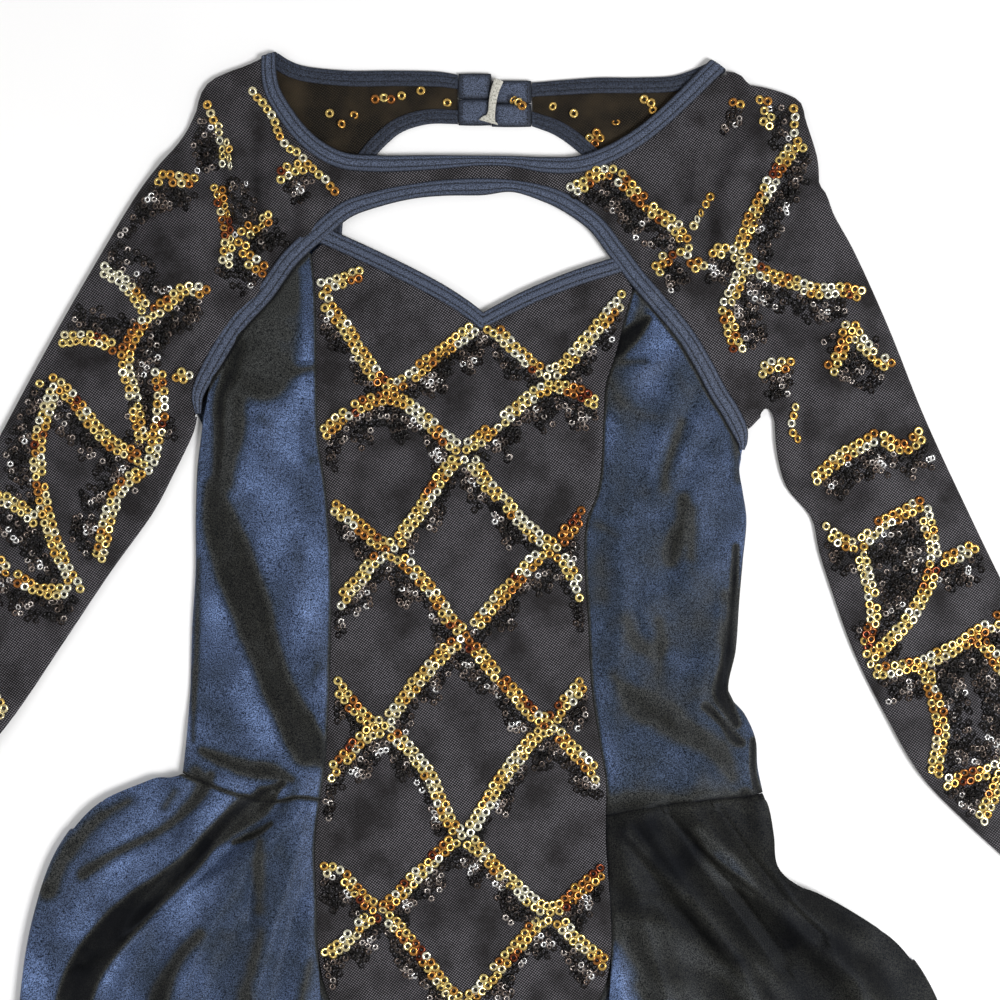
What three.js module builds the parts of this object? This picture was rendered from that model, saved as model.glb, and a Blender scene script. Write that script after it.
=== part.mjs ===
// A child's long-sleeved dance biketard, laid face up on a table.
//
// Sheer sequin mesh makes the yoke, the sleeves and the centre front; navy
// stretch satin makes the side fronts, the back, the bike legs and the flared
// side skirts. Folded navy bindings finish the neckline, the arch over the
// front cut-out, the sweetheart edge and the keyhole at the back.
//
// Millimetres, +Z up. The table is z = 0, +Y runs towards the neck and +X
// towards the right of the garment as it lies. The origin is on the underside
// of the back, at chest height on the middle of the garment.

import * as THREE from "three";

// Driving sizes
const CLOTH = 1.2; // wall of a panel
const SEAM = 0.4; // clear space between two pieces that are sewn together
const BOUND = 0.6; // and between a panel's edge and its binding
const BINDING = 2.2; // a binding is the cloth folded round an edge
const TAB = 3.4; // a binding's end, turned back on itself
const CLASP = { thick: 2, width: 4.2, gap: 0.3 };

// Heights of the middle of each layer above the table
const BACK_LEVEL = CLOTH / 2;
const BACK_BINDING_LEVEL = BINDING / 2;
const LEG_BACK_LEVEL = 2.1;
const LEG_FRONT_LEVEL = 4.2;
const FRONT_LEVEL = 3.8;
const HIP_LEVEL = 6.1; // below the hip seam the front lies on the legs
const SIDE_SEAM_LEVEL = 2.15; // the front's side edge lies on the back's
const SIDE_HIP_LEVEL = 4;

// Stretches of y in which a layer changes its height
const HIP_RISE = [-95, -150];
const CROTCH_FALL = [-262, -305];
const LEG_LANDING = [-391, -405];

const FOLD_BULGE = 1.6; // how far a folded edge stands out in plan

// Outlines and seam lines as the garment lies. Columns: x, y
const SIDE_LEFT = [
  [-169, 43], [-170, 35], [-172, 18], [-173, -11], [-173, -40], [-175, -74], [-176, -108], [-178, -136],
  [-180, -155],
];
const SIDE_RIGHT = [
  [137, 24], [136, 17], [138, 4], [140, -11], [138, -34], [136, -57], [134, -85], [130, -110], [139, -122],
  [145, -136], [146, -151], [149, -166],
];
const PANEL_LEFT = [
  [-107, 139.6], [-105, 119], [-104, 57], [-103, 34], [-99, 6], [-96, -34], [-96, -80], [-97, -114],
  [-99, -148], [-102, -170], [-105, -199], [-104, -227], [-103, -256], [-97, -282], [-79, -308],
  [-45, -334],
];
const PANEL_RIGHT = [
  [75.5, 119.5], [71, 104], [66, 84], [60, 65], [59, 51], [56, 7], [49, -13], [48, -36], [50, -69],
  [52, -108], [56, -134], [60, -160], [60, -179], [60, -195], [61, -209], [63, -256], [57, -282],
  [39, -308], [5, -334],
];
const HIP_LEFT = [
  [-180, -155], [-170, -159], [-156, -164], [-139, -170], [-128, -171], [-114, -168], [-102, -170],
];
const HIP_RIGHT = [[149, -166], [140, -168], [114, -170], [80, -175], [60, -179]];
const RAGLAN_LEFT = [[-172.5, 49.5], [-152, 84], [-126, 122], [-101, 150]];
const RAGLAN_RIGHT = [[139.6, 43.6], [130, 72], [110, 108], [86, 134]];

// Binding centre lines. Columns: x, y, width
const ARCH = [
  [-171.4, 49, 3.5], [-171.5, 60, 7.2], [-165, 74, 10], [-150, 99, 10.3], [-133, 118, 10.3],
  [-120, 136, 10.3], [-102, 153, 10.3], [-87, 165, 10], [-68, 171.5, 9.2], [-49, 175.5, 8.6],
  [-31, 177.4, 9.2], [-10, 178, 9.8], [7, 178.4, 7], [26, 173.8, 9.2], [38, 168.5, 10], [54, 157, 10],
  [65, 143, 10.3], [78, 126, 10.3], [91, 111, 10.3], [105, 94, 10.3], [116, 76, 10.3], [124, 61, 10.3],
  [130.6, 50.7, 10.3], [136, 40, 9.5], [137.8, 32.5, 5.5], [137.6, 28.5, 2.5],
];
const NECK_FRONT = [
  [-131.5, 251.5, 8.4], [-131.4, 243, 8.8], [-129.5, 233, 9.2], [-121, 218, 9.5], [-111, 206, 9.5],
  [-100, 197.5, 9.6], [-88, 192.5, 9.6], [-68, 191, 9.6], [-40, 191.6, 8.6], [-11.6, 192.7, 6],
  [7, 192.3, 6.4], [26, 190.3, 9.2], [45, 190.7, 9.8], [62, 196.5, 9.8], [79.5, 206.7, 9.8],
  [93, 217.5, 9.8], [106.6, 230.2, 10], [117, 240.6, 10.2], [122.8, 246.2, 10.2],
];
const NECK_BACK_LEFT = [
  [-122, 246.5, 8.5], [-113, 243, 8.6], [-87, 240, 8.8], [-61, 240, 8.8], [-35, 239.5, 8.5], [-24, 238, 8],
];
const NECK_BACK_RIGHT = [
  [111, 240.8, 8.6], [100, 237.2, 8.8], [78, 236, 8.8], [56, 236, 8.8], [39, 235, 8.5], [18.2, 233.5, 8],
];
const KEYHOLE = [
  [-24, 218, 8], [-42, 218, 8.5], [-58, 213, 8.5], [-68, 205, 8.5], [-76, 196, 8.5], [-89, 177, 8.5],
  [-94, 154, 8.5], [-92, 128, 8.5], [-80, 94, 8.5], [-58, 66, 8.5], [-30, 52, 8.5], [0, 49, 8.5],
  [30, 55, 8.5], [56, 76, 8.5], [74, 104, 8.5], [80, 130, 8.5], [77, 160, 8.5], [66, 182, 8.5],
  [50, 199, 8.5], [34, 211, 8.5], [18.2, 217, 8],
];
const SWEETHEART_LEFT = [
  [-97.6, 149, 9.5], [-93, 147, 9.5], [-70, 136.5, 9.5], [-45.4, 124.4, 9.3], [-31, 116.5, 9],
  [-18, 108, 8.6], [-10, 101.5, 8.5],
];
const SWEETHEART_RIGHT = [
  [-10, 101.5, 8.5], [-1, 106.5, 8.6], [17, 115.5, 9], [43, 126, 9.3], [65, 133, 9.5],
];

// Folded edges of the sleeves, from the wrist up. Columns: x, y
const OVERARM_LEFT = [
  [-396, -163], [-384, -139], [-349, -80], [-318, -26], [-287, 28], [-259, 80], [-230, 131], [-200, 180],
  [-180.5, 203], [-174.5, 213], [-170.5, 222], [-169, 229], [-164, 236.5], [-153, 242], [-142, 246],
  [-136.4, 249.4],
];
const UNDERARM_LEFT = [
  [-338, -198], [-310, -162], [-278, -122], [-251, -82], [-223, -40], [-198, -5], [-187, 16], [-180, 30],
  [-175.6, 40], [-174, 47.5],
];
const OVERARM_RIGHT = [
  [350, -162], [318, -108], [288, -55], [262, -2], [239, 48], [219, 98], [199, 142], [188, 162], [184, 173],
  [180, 179], [179.5, 187], [178.5, 195], [172, 216], [169.5, 225], [161, 229.6], [149, 233], [141, 234.6],
  [136, 240], [132.2, 241.6], [129.1, 241.9],
];
const UNDERARM_RIGHT = [
  [291, -205], [267, -183], [241, -156], [221, -122], [203, -86], [190, -50], [183, -28], [179, -10],
  [164.6, 8], [160.4, 21], [158.4, 34], [157.6, 46], [153.6, 54], [147, 48.4], [140.9, 42],
];

// Below the hip seam. Columns: x, y
const SKIRT_FOLD_LEFT = [
  [-180, -157], [-187, -159], [-194, -159], [-203, -162], [-229, -174], [-250, -199], [-264, -239],
  [-271, -284], [-273, -330], [-268, -368],
];
const SKIRT_FOLD_RIGHT = [
  [148, -168.5], [151.5, -176], [154.5, -192], [156.5, -209], [169, -220], [179, -224], [200, -235],
  [227, -254], [247, -285], [258, -330], [257, -368],
];
const SKIRT_HEM_LEFT = [[-104, -376], [-150, -390], [-200, -396], [-240, -388], [-268, -368]];
const SKIRT_HEM_RIGHT = [[62, -376], [110, -390], [160, -396], [215, -388], [257, -368]];
const SKIRT_EDGE_LEFT = [
  [-102, -170.6], [-105, -199], [-104, -227], [-103, -256], [-101, -300], [-104, -376],
];
const SKIRT_EDGE_RIGHT = [[60, -179.6], [60, -195], [61, -209], [63, -256], [61, -300], [62, -376]];
const LEG_SIDE_LEFT = [[-170, -164], [-177, -200], [-181, -260], [-183, -338], [-182, -380], [-180, -424]];
const LEG_SIDE_RIGHT = [[139, -172], [144, -205], [147, -260], [147, -338], [146, -380], [144, -424]];
const INSEAM_LEFT = [[-24, -342], [-30, -385], [-36, -430]];
const INSEAM_RIGHT = [[-16, -342], [-10, -385], [-4, -430]];
const CENTRE_BACK = { x: -20, hip: -164.4, crotch: -338, hem: -382 };
const CENTRE_FRONT = -10; // x of the sweetheart's point and of the yoke's middle

// Folds of the front layer. Each follows a line and is highest part way along;
// its height falls off over width to either side.
const FOLDS = [
  // left side front: drag lines from the underarm to the hip
  { line: [[-160, -28], [-134, -96], [-116, -140]], width: 8, rise: 1.6 },
  { line: [[-130, 42], [-108, 16]], width: 6, rise: 1.3 },
  { line: [[-168, -150], [-140, -160], [-112, -158]], width: 6, rise: 1.8 },
  { line: [[-154, 20], [-150, -30]], width: 6, rise: 1.2 },
  // right side front
  { line: [[112, 46], [92, 4]], width: 7, rise: 1.6 },
  { line: [[120, -36], [76, -66]], width: 8, rise: 1.7 },
  { line: [[66, -84], [104, -128]], width: 8, rise: 1.8 },
  { line: [[127, -60], [122, -104], [132, -136]], width: 4.5, rise: 2 },
  { line: [[98, 84], [72, 70]], width: 6, rise: 1.5 },
  // centre front: fullness eased in under the sweetheart's point
  { line: [[-70, 112], [-34, 88]], width: 7, rise: 1.6 },
  { line: [[-18, 86], [-24, 58]], width: 5, rise: 1.3 },
  { line: [[2, 88], [10, 58]], width: 5, rise: 1.3 },
  { line: [[20, 92], [50, 104]], width: 7, rise: 1.5 },
  { line: [[-74, -20], [-20, -48]], width: 10, rise: 1.1 },
  { line: [[-60, -110], [-30, -150]], width: 10, rise: 1 },
  { line: [[10, -190], [-20, -240]], width: 10, rise: 1 },
  // left yoke and sleeve
  { line: [[-154, 218], [-150, 186], [-147, 150]], width: 6, rise: 2.4 },
  { line: [[-190, 84], [-166, 108]], width: 6, rise: 2 },
  { line: [[-196, 160], [-180, 120]], width: 7, rise: 1.6 },
  { line: [[-214, 92], [-232, 44]], width: 8, rise: 1.8 },
  { line: [[-250, 30], [-262, -40]], width: 8, rise: 1.9 },
  { line: [[-296, -46], [-322, -108]], width: 8, rise: 1.8 },
  // right yoke and sleeve
  { line: [[143, 216], [132, 182], [122, 140]], width: 7, rise: 2.6 },
  { line: [[168, 102], [186, 84]], width: 6, rise: 1.9 },
  { line: [[196, 96], [190, 40]], width: 8, rise: 1.8 },
  { line: [[222, 50], [212, -30]], width: 8, rise: 1.9 },
  { line: [[262, -50], [250, -118]], width: 8, rise: 1.7 },
  // left skirt: folds that fan out from the hip seam
  { line: [[-180, -160], [-200, -176], [-226, -200], [-248, -240]], width: 8, rise: 5 },
  { line: [[-158, -168], [-184, -200], [-212, -236], [-236, -290], [-250, -376]], width: 11, rise: 11 },
  { line: [[-118, -172], [-146, -206], [-172, -248], [-196, -310], [-208, -394]], width: 11, rise: 9 },
  { line: [[-112, -186], [-130, -236], [-148, -300], [-160, -390]], width: 9, rise: 7 },
  { line: [[-108, -230], [-114, -300], [-120, -384]], width: 7, rise: 4 },
  // right skirt
  { line: [[146, -172], [152, -200], [168, -226], [204, -250]], width: 7, rise: 4 },
  { line: [[110, -173], [134, -200], [164, -232], [204, -270], [238, -350]], width: 11, rise: 11 },
  { line: [[84, -178], [108, -218], [138, -262], [168, -320], [186, -392]], width: 11, rise: 9 },
  { line: [[68, -190], [84, -240], [104, -304], [120, -390]], width: 9, rise: 7 },
  { line: [[66, -252], [72, -310], [78, -378]], width: 7, rise: 4 },
];

// Plan geometry: an edge is a list of points

function spline(table) {
  const points = table.map(([x, y, width = 0]) => new THREE.Vector3(x, y, width));
  const line = new THREE.CatmullRomCurve3(points, false, "centripetal");
  line.arcLengthDivisions = 400;
  return line;
}

// The share of a line's length that lies nearest to a point
function shareNear(line, [x, y]) {
  const steps = 600;
  let best = 0;
  let nearest = Infinity;
  for (let i = 0; i <= steps; i++) {
    const p = line.getPointAt(i / steps);
    const away = Math.hypot(p.x - x, p.y - y);
    if (away < nearest) {
      best = i / steps;
      nearest = away;
    }
  }
  return best;
}

const shareOf = (line, place) => (Array.isArray(place) ? shareNear(line, place) : place);
const evenly = (cells) => Array.from({ length: cells + 1 }, (_, i) => i / cells);

// A stretch of a line in equal steps, between two shares of its length or two places near
// it. Side 1 is the left edge of its width, -1 the right edge; gap moves it further out.
function stretch(table, from, to, cells, side = 0, gap = 0) {
  const line = spline(table);
  const start = shareOf(line, from);
  const end = shareOf(line, to);
  return evenly(cells).map((share) => {
    const at = start + (end - start) * share;
    const p = line.getPointAt(at);
    const along = line.getTangentAt(at).setZ(0).normalize();
    const out = side * (p.z / 2 + gap);
    return new THREE.Vector2(p.x - along.y * out, p.y + along.x * out);
  });
}

const place = ([x, y]) => new THREE.Vector2(x, y);
const straight = (from, to, cells) => evenly(cells).map((share) => from.clone().lerp(to, share));
const reversed = (edge) => [...edge].reverse();

// Edges joined end to end; where two meet, the first one's last point is kept
const join = (...edges) => edges.flatMap((edge, i) => (i ? edge.slice(1) : edge));

// Rows of points between four edges; top and bottom run across, left and right run down
function patch(top, bottom, left, right) {
  const rows = left.length - 1;
  const columns = top.length - 1;
  return left.map((_, j) =>
    top.map((__, i) => {
      const u = i / columns;
      const v = j / rows;
      return new THREE.Vector2()
        .addScaledVector(top[i], 1 - v)
        .addScaledVector(bottom[i], v)
        .addScaledVector(left[j], 1 - u)
        .addScaledVector(right[j], u)
        .addScaledVector(top[0], -(1 - u) * (1 - v))
        .addScaledVector(top[columns], -u * (1 - v))
        .addScaledVector(bottom[0], -(1 - u) * v)
        .addScaledVector(bottom[columns], -u * v);
    }),
  );
}

// Rows of straight lines from one edge to another
const ruled = (edge, opposite, cells) => edge.map((from, j) => straight(from, opposite[j], cells));

// Heights

function ramp([from, to], y) {
  const share = THREE.MathUtils.clamp((y - from) / (to - from), 0, 1);
  return share * share * (3 - 2 * share);
}

function nearestOnLine(line, x, y) {
  let away = Infinity;
  let share = 0;
  for (let i = 1; i < line.length; i++) {
    const [ax, ay] = line[i - 1];
    const [bx, by] = line[i];
    const reach = (bx - ax) ** 2 + (by - ay) ** 2;
    const t = THREE.MathUtils.clamp(((x - ax) * (bx - ax) + (y - ay) * (by - ay)) / reach, 0, 1);
    const distance = Math.hypot(x - ax - t * (bx - ax), y - ay - t * (by - ay));
    if (distance < away) {
      away = distance;
      share = (i - 1 + t) / (line.length - 1);
    }
  }
  return { away, share };
}

// Height of the middle of the front layer
function frontHeight(x, y) {
  let height = FRONT_LEVEL + (HIP_LEVEL - FRONT_LEVEL) * ramp(HIP_RISE, y);
  for (const fold of FOLDS) {
    const { away, share } = nearestOnLine(fold.line, x, y);
    if (away > 3 * fold.width) continue;
    const tall = 0.3 + 0.7 * Math.sin(Math.PI * (0.1 + 0.75 * share));
    height += fold.rise * tall * Math.exp(-((away / fold.width) ** 2));
  }
  return height;
}

const legDrop = (y) => (LEG_BACK_LEVEL - BACK_LEVEL) * ramp(LEG_LANDING, y);
const legFrontHeight = (x, y) => LEG_FRONT_LEVEL - legDrop(y);
const legBackHeight = (x, y) => LEG_BACK_LEVEL - legDrop(y);
const backHeight = () => BACK_LEVEL;
const backBindingHeight = () => BACK_BINDING_LEVEL;
const sideHeight = (y) => THREE.MathUtils.lerp(SIDE_SEAM_LEVEL, SIDE_HIP_LEVEL, ramp(HIP_RISE, y));
const centreHeight = (x, y) =>
  THREE.MathUtils.lerp(frontHeight(x, y), LEG_FRONT_LEVEL, ramp(CROTCH_FALL, y));

const raised = (rows, height) =>
  rows.map((row) => row.map(({ x, y }) => new THREE.Vector3(x, y, height(x, y))));

// A wall of cloth, built from quads on its middle surface. Sheets that share
// points are one wall, so a piece may turn over a fold and run on underneath.
class Cloth {
  points = [];
  quads = [];
  index = new Map();

  corner(point) {
    const key = point.toArray().map((n) => Math.round(n * 500)).join();
    if (!this.index.has(key)) {
      this.index.set(key, this.points.length);
      this.points.push(point);
    }
    return this.index.get(key);
  }

  quad(corners, outwards) {
    const [a, b, c, d] = corners;
    const facing = new THREE.Vector3().subVectors(c, a).cross(new THREE.Vector3().subVectors(d, b));
    const ring = facing.dot(outwards) < 0 ? [a, d, c, b] : corners;
    this.quads.push(ring.map((point) => this.corner(point)));
  }

  // Rows of points; up is 1 where the outside of the cloth faces up and -1 where it faces down
  sheet(rows, up) {
    const outwards = new THREE.Vector3(0, 0, up);
    for (let j = 1; j < rows.length; j++) {
      for (let i = 1; i < rows[j].length; i++) {
        this.quad([rows[j - 1][i - 1], rows[j - 1][i], rows[j][i], rows[j][i - 1]], outwards);
      }
    }
    return this;
  }

  // A folded edge that joins the front sheet's edge to the back sheet's; inside holds a
  // point of the front sheet next to each of the edge's
  fold(front, back, inside, cells = 2) {
    const last = front.length - 1;
    const arcs = front.map((top, j) => {
      const along = new THREE.Vector3().subVectors(front[Math.min(j + 1, last)], front[Math.max(j - 1, 0)]);
      const out = new THREE.Vector3(along.y, -along.x, 0).normalize();
      if (out.dot(new THREE.Vector3().subVectors(top, inside[j])) < 0) out.negate();
      return evenly(cells).map((share) => {
        if (share === 0) return top;
        if (share === 1) return back[j];
        const turn = Math.PI * share;
        const point = top.clone().lerp(back[j], (1 - Math.cos(turn)) / 2);
        return point.addScaledVector(out, FOLD_BULGE * Math.sin(turn));
      });
    });
    for (let j = 1; j < arcs.length; j++) {
      for (let i = 1; i <= cells; i++) {
        const ring = [arcs[j - 1][i - 1], arcs[j - 1][i], arcs[j][i], arcs[j][i - 1]];
        const outwards = new THREE.Vector3();
        for (const point of ring) outwards.add(point);
        for (const point of [front[j - 1], back[j - 1], front[j], back[j]]) outwards.sub(point);
        this.quad(ring, outwards);
      }
    }
    return this;
  }

  solid(thick) {
    const normals = this.points.map(() => new THREE.Vector3());
    const edges = new Map();
    for (const quad of this.quads) {
      const [a, b, c, d] = quad.map((i) => this.points[i]);
      const facing = new THREE.Vector3().subVectors(c, a).cross(new THREE.Vector3().subVectors(d, b));
      facing.normalize();
      quad.forEach((i, n) => {
        const next = quad[(n + 1) % 4];
        normals[i].add(facing);
        edges.set(`${i},${next}`, [i, next]);
      });
    }
    const count = this.points.length;
    const positions = [1, -1].flatMap((side) =>
      this.points.flatMap((point, i) => {
        const away = normals[i].clone().normalize();
        return point.clone().addScaledVector(away, (side * thick) / 2).toArray();
      }),
    );
    const faces = this.quads.flatMap(([a, b, c, d]) => [
      a, b, c, a, c, d,
      a + count, c + count, b + count, a + count, d + count, c + count,
    ]);
    for (const [a, b] of edges.values()) {
      if (!edges.has(`${b},${a}`)) faces.push(b, a, a + count, b, a + count, b + count);
    }
    return closed(positions, faces);
  }
}

function closed(positions, faces) {
  const geometry = new THREE.BufferGeometry();
  geometry.setAttribute("position", new THREE.Float32BufferAttribute(positions, 3));
  geometry.setIndex(faces);
  geometry.computeVertexNormals();
  return geometry;
}

// A strip swept along stations, each with its place, the way its outside faces and its
// width. The outer corners are taken off. A cut turns an end to the line that it meets.
function ribbon(stations, thick, corner = 0.7) {
  const last = stations.length - 1;
  const flat = (from, to, out) => {
    const along = new THREE.Vector3().subVectors(stations[to].at, stations[from].at);
    return along.addScaledVector(out, -along.dot(out)).normalize();
  };
  const rings = stations.map(({ at, out, width, cut }, i) => {
    const before = flat(Math.max(i - 1, 0), Math.max(i, 1), out);
    const after = flat(Math.min(i, last - 1), Math.min(i + 1, last), out);
    const along = before.clone().add(after).normalize();
    const across = new THREE.Vector3().crossVectors(out, along);
    across.divideScalar(Math.max(0.5, Math.sqrt((1 + before.dot(after)) / 2)));
    if (cut) across.copy(cut).divideScalar(cut.dot(across));
    const half = width / 2;
    return [
      [half, -thick / 2], [half, thick / 2 - corner], [half - corner, thick / 2],
      [corner - half, thick / 2], [-half, thick / 2 - corner], [-half, -thick / 2],
    ].map(([side, up]) => at.clone().addScaledVector(across, side).addScaledVector(out, up));
  });
  const sides = rings[0].length;
  const faces = [];
  for (let j = 1; j <= last; j++) {
    for (let i = 0; i < sides; i++) {
      const [a, b] = [(j - 1) * sides + i, (j - 1) * sides + ((i + 1) % sides)];
      faces.push(a, b, b + sides, a, b + sides, a + sides);
    }
  }
  const end = last * sides;
  for (let i = 1; i < sides - 1; i++) faces.push(0, i + 1, i, end, end + i, end + i + 1);
  return closed(rings.flat().flatMap((point) => point.toArray()), faces);
}

const UP = new THREE.Vector3(0, 0, 1);
const DOWN = new THREE.Vector3(0, 0, -1);
const END_CUT = new THREE.Vector3(0, 1, 0); // the ends at the clasp are cut straight up and down

function stationsAlong(table, cells, height, out) {
  const line = spline(table);
  return evenly(cells).map((share) => {
    const p = line.getPointAt(share);
    return { at: new THREE.Vector3(p.x, p.y, height(p.x, p.y)), out, width: p.z };
  });
}

// The turn of a binding over the shoulder, from the front to the back. The front's last
// station is cut along the fold line.
function shoulderTurn(last, before, cells) {
  const along = new THREE.Vector3().subVectors(last.at, before.at).setZ(0).normalize();
  const fold = last.cut;
  const out = new THREE.Vector3(-fold.y, fold.x, 0);
  if (out.dot(along) < 0) out.negate();
  const radius = (last.at.z - BACK_BINDING_LEVEL) / 2;
  const centre = last.at.clone().setZ(BACK_BINDING_LEVEL + radius);
  const slide = (radius * along.dot(fold)) / along.dot(out);
  return evenly(cells).slice(1).map((share) => {
    const turn = Math.PI * share;
    const outside = out.clone().multiplyScalar(Math.sin(turn)).setZ(Math.cos(turn));
    const at = centre.clone().addScaledVector(outside, radius).addScaledVector(fold, slide * turn);
    return { at, out: outside, width: last.width, cut: fold };
  });
}

// Materials

const satin = () => new THREE.MeshStandardMaterial({ color: 0x1f2a45, roughness: 0.4, metalness: 0.05 });
const sheer = () => new THREE.MeshStandardMaterial({ color: 0x1d1a1c, roughness: 0.65, metalness: 0 });
const bound = () => new THREE.MeshStandardMaterial({ color: 0x252f49, roughness: 0.55, metalness: 0 });
const plastic = () => new THREE.MeshStandardMaterial({ color: 0xd8d9d4, roughness: 0.3, metalness: 0 });

const group = new THREE.Group();

function add(name, geometry, material) {
  const piece = new THREE.Mesh(geometry, material);
  piece.name = name;
  group.add(piece);
}

// Rows of quads along the centre panel's seams, above and below the hip seam
const SEAM_ROWS = { bodice: 19, below: 11 };
const PANEL_HIP = { left: [-102, -170], right: [60, -179] };

// The centre front runs from the sweetheart edge to the crotch
function centreFront() {
  const half = 4;
  const edge = (table, from, to) => stretch(table, from, to, half, -1, BOUND);
  const point = place([CENTRE_FRONT, 95.7]);
  const top = [
    place([-106.6, 140]), place([-101.8, 143.6]), ...edge(SWEETHEART_LEFT, 0.1, 1).slice(0, half), point,
    ...edge(SWEETHEART_RIGHT, 0, 0.9).slice(1), place([68.5, 127.8]), place([75, 120.2]),
  ];
  const seam = (table, side, hip) => join(
    stretch(table, 0, hip, SEAM_ROWS.bodice, side, SEAM / 2),
    stretch(table, hip, 1, SEAM_ROWS.below, side, SEAM / 2),
  );
  const left = seam(PANEL_LEFT, 1, PANEL_HIP.left);
  const right = seam(PANEL_RIGHT, -1, PANEL_HIP.right);
  left[0] = top[0];
  right[0] = top.at(-1);
  const bottom = straight(left.at(-1), right.at(-1), top.length - 1);
  return new Cloth().sheet(raised(patch(top, bottom, left, right), centreHeight), 1).solid(CLOTH);
}

// A side front, with its columns counted from the side seam to the centre panel
function sideFront({ side, panel, panelHip, seamSide, archEnds, hip, hipSide }) {
  const rows = SEAM_ROWS.bodice;
  const cells = 8;
  const sideEdge = stretch(side, 0, 1, rows);
  const seam = stretch(panel, 0, panelHip, rows, seamSide, SEAM / 2);
  const top = [sideEdge[0], ...stretch(ARCH, ...archEnds, cells - 2, -1, BOUND), seam[0]];
  const bottom = stretch(hip, 0, 1, cells, hipSide, SEAM / 2);
  bottom[0] = sideEdge[rows];
  bottom[cells] = seam[rows];
  const points = raised(patch(top, bottom, sideEdge, seam), frontHeight);
  for (const row of points) row[0].z = sideHeight(row[0].y);
  return new Cloth().sheet(points, 1).solid(CLOTH);
}

// The back lies flat from the raglan seams and the keyhole down to the hip seam
function back() {
  const [rows, low, wide, middle] = [9, 8, 3, 5];
  const horn = (raglan, raglanSide, from, to) => {
    const outer = stretch(raglan, 1, 0, rows, raglanSide, SEAM / 2);
    const inner = stretch(KEYHOLE, from, to, rows, -1, BOUND);
    const across = (row) => straight(outer[row], inner[row], wide);
    return patch(across(0), across(rows), outer, inner);
  };
  const keyhole = { left: [-30, 52], right: [30, 55] };
  const left = horn(RAGLAN_LEFT, -1, [-94, 152], keyhole.left);
  const right = horn(RAGLAN_RIGHT, 1, [80.4, 136], keyhole.right);
  const bridge = stretch(KEYHOLE, keyhole.left, keyhole.right, middle, -1, BOUND);
  const top = join(left[rows], bridge, reversed(right[rows]));
  const sides = [SIDE_LEFT, SIDE_RIGHT].map((side, n) => {
    const corner = n ? [[139.4, 43.4], [139, 34]] : [[-172.2, 49.4]];
    return stretch([...corner, ...side], 0, 1, low);
  });
  sides[0][0] = top[0];
  sides[1][0] = top.at(-1);
  const centre = place([CENTRE_BACK.x, CENTRE_BACK.hip + SEAM]);
  const bottom = join(straight(sides[0][low], centre, 7), straight(centre, sides[1][low], 7));
  return new Cloth()
    .sheet(raised(left, backHeight), -1)
    .sheet(raised(right, backHeight), -1)
    .sheet(raised(patch(top, bottom, ...sides), backHeight), -1)
    .solid(CLOTH);
}

// A piece that is folded round the body. Its front and back sheets share the outer edge
// all the way, and the inner edge as far as the tube is closed.
function folded({ inner, outer, backInner, backOuter, closedTo, foldTo, cells, frontHeight, backHeight }) {
  const front = raised(ruled(inner, outer, cells.front), frontHeight);
  const under = raised(ruled(backInner, backOuter, cells.back), backHeight);
  const column = (rows, i, to) => rows.slice(0, to + 1).map((row) => row.at(i));
  return new Cloth()
    .sheet(front, 1)
    .sheet(under, -1)
    .fold(column(front, -1, foldTo), column(under, -1, foldTo), column(front, -2, foldTo))
    .fold(column(front, 0, closedTo), column(under, 0, closedTo), column(front, 1, closedTo))
    .solid(CLOTH);
}

// Each sleeve is cut in one with its half of the yoke, front and back
function yokeSleeve(lines) {
  const { under, over, underStops, overStops, arch, neckFront } = lines;
  const { raglan, raglanStop, keyhole, neckBack } = lines;
  const arm = underStops.slice(1).map((stop, i) => stretch(under, underStops[i], stop, SLEEVE_CELLS[i]));
  const armOver = overStops.slice(1).map((stop, i) => stretch(over, overStops[i], stop, SLEEVE_CELLS[i]));
  const closedTo = arm.reduce((sum, edge) => sum + edge.length - 1, 0);
  const toShoulder = 9;
  const toCentre = 14;
  const inner = join(...arm, stretch(ARCH, arch[0], arch[1], toShoulder, 1, BOUND),
    stretch(ARCH, arch[1], arch[2], toCentre, 1, BOUND));
  const shoulder = stretch(over, overStops.at(-1), 1, toShoulder);
  const outer = join(...armOver, shoulder, stretch(NECK_FRONT, ...neckFront, toCentre, -1, BOUND));
  const onRaglan = 3;
  const backInner = join(...arm, stretch(raglan.table, 0, raglanStop, toShoulder, raglan.side, SEAM / 2),
    stretch(raglan.table, raglanStop, 1, onRaglan, raglan.side, SEAM / 2),
    stretch(KEYHOLE, ...keyhole, toCentre - onRaglan, -1, BOUND));
  const neck = stretch(neckBack.table, 0, 1, toCentre, neckBack.side, BOUND);
  const backOuter = join(...armOver, shoulder, neck);
  const towards = Math.sign(outer[0].x);
  inner.at(-1).x = outer.at(-1).x = CENTRE_FRONT + (towards * SEAM) / 2;
  return folded({
    inner, outer, backInner, backOuter, closedTo, foldTo: closedTo + toShoulder,
    cells: { front: 6, back: 2 }, frontHeight, backHeight,
  });
}

const SLEEVE_CELLS = [14, 2];

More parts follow.
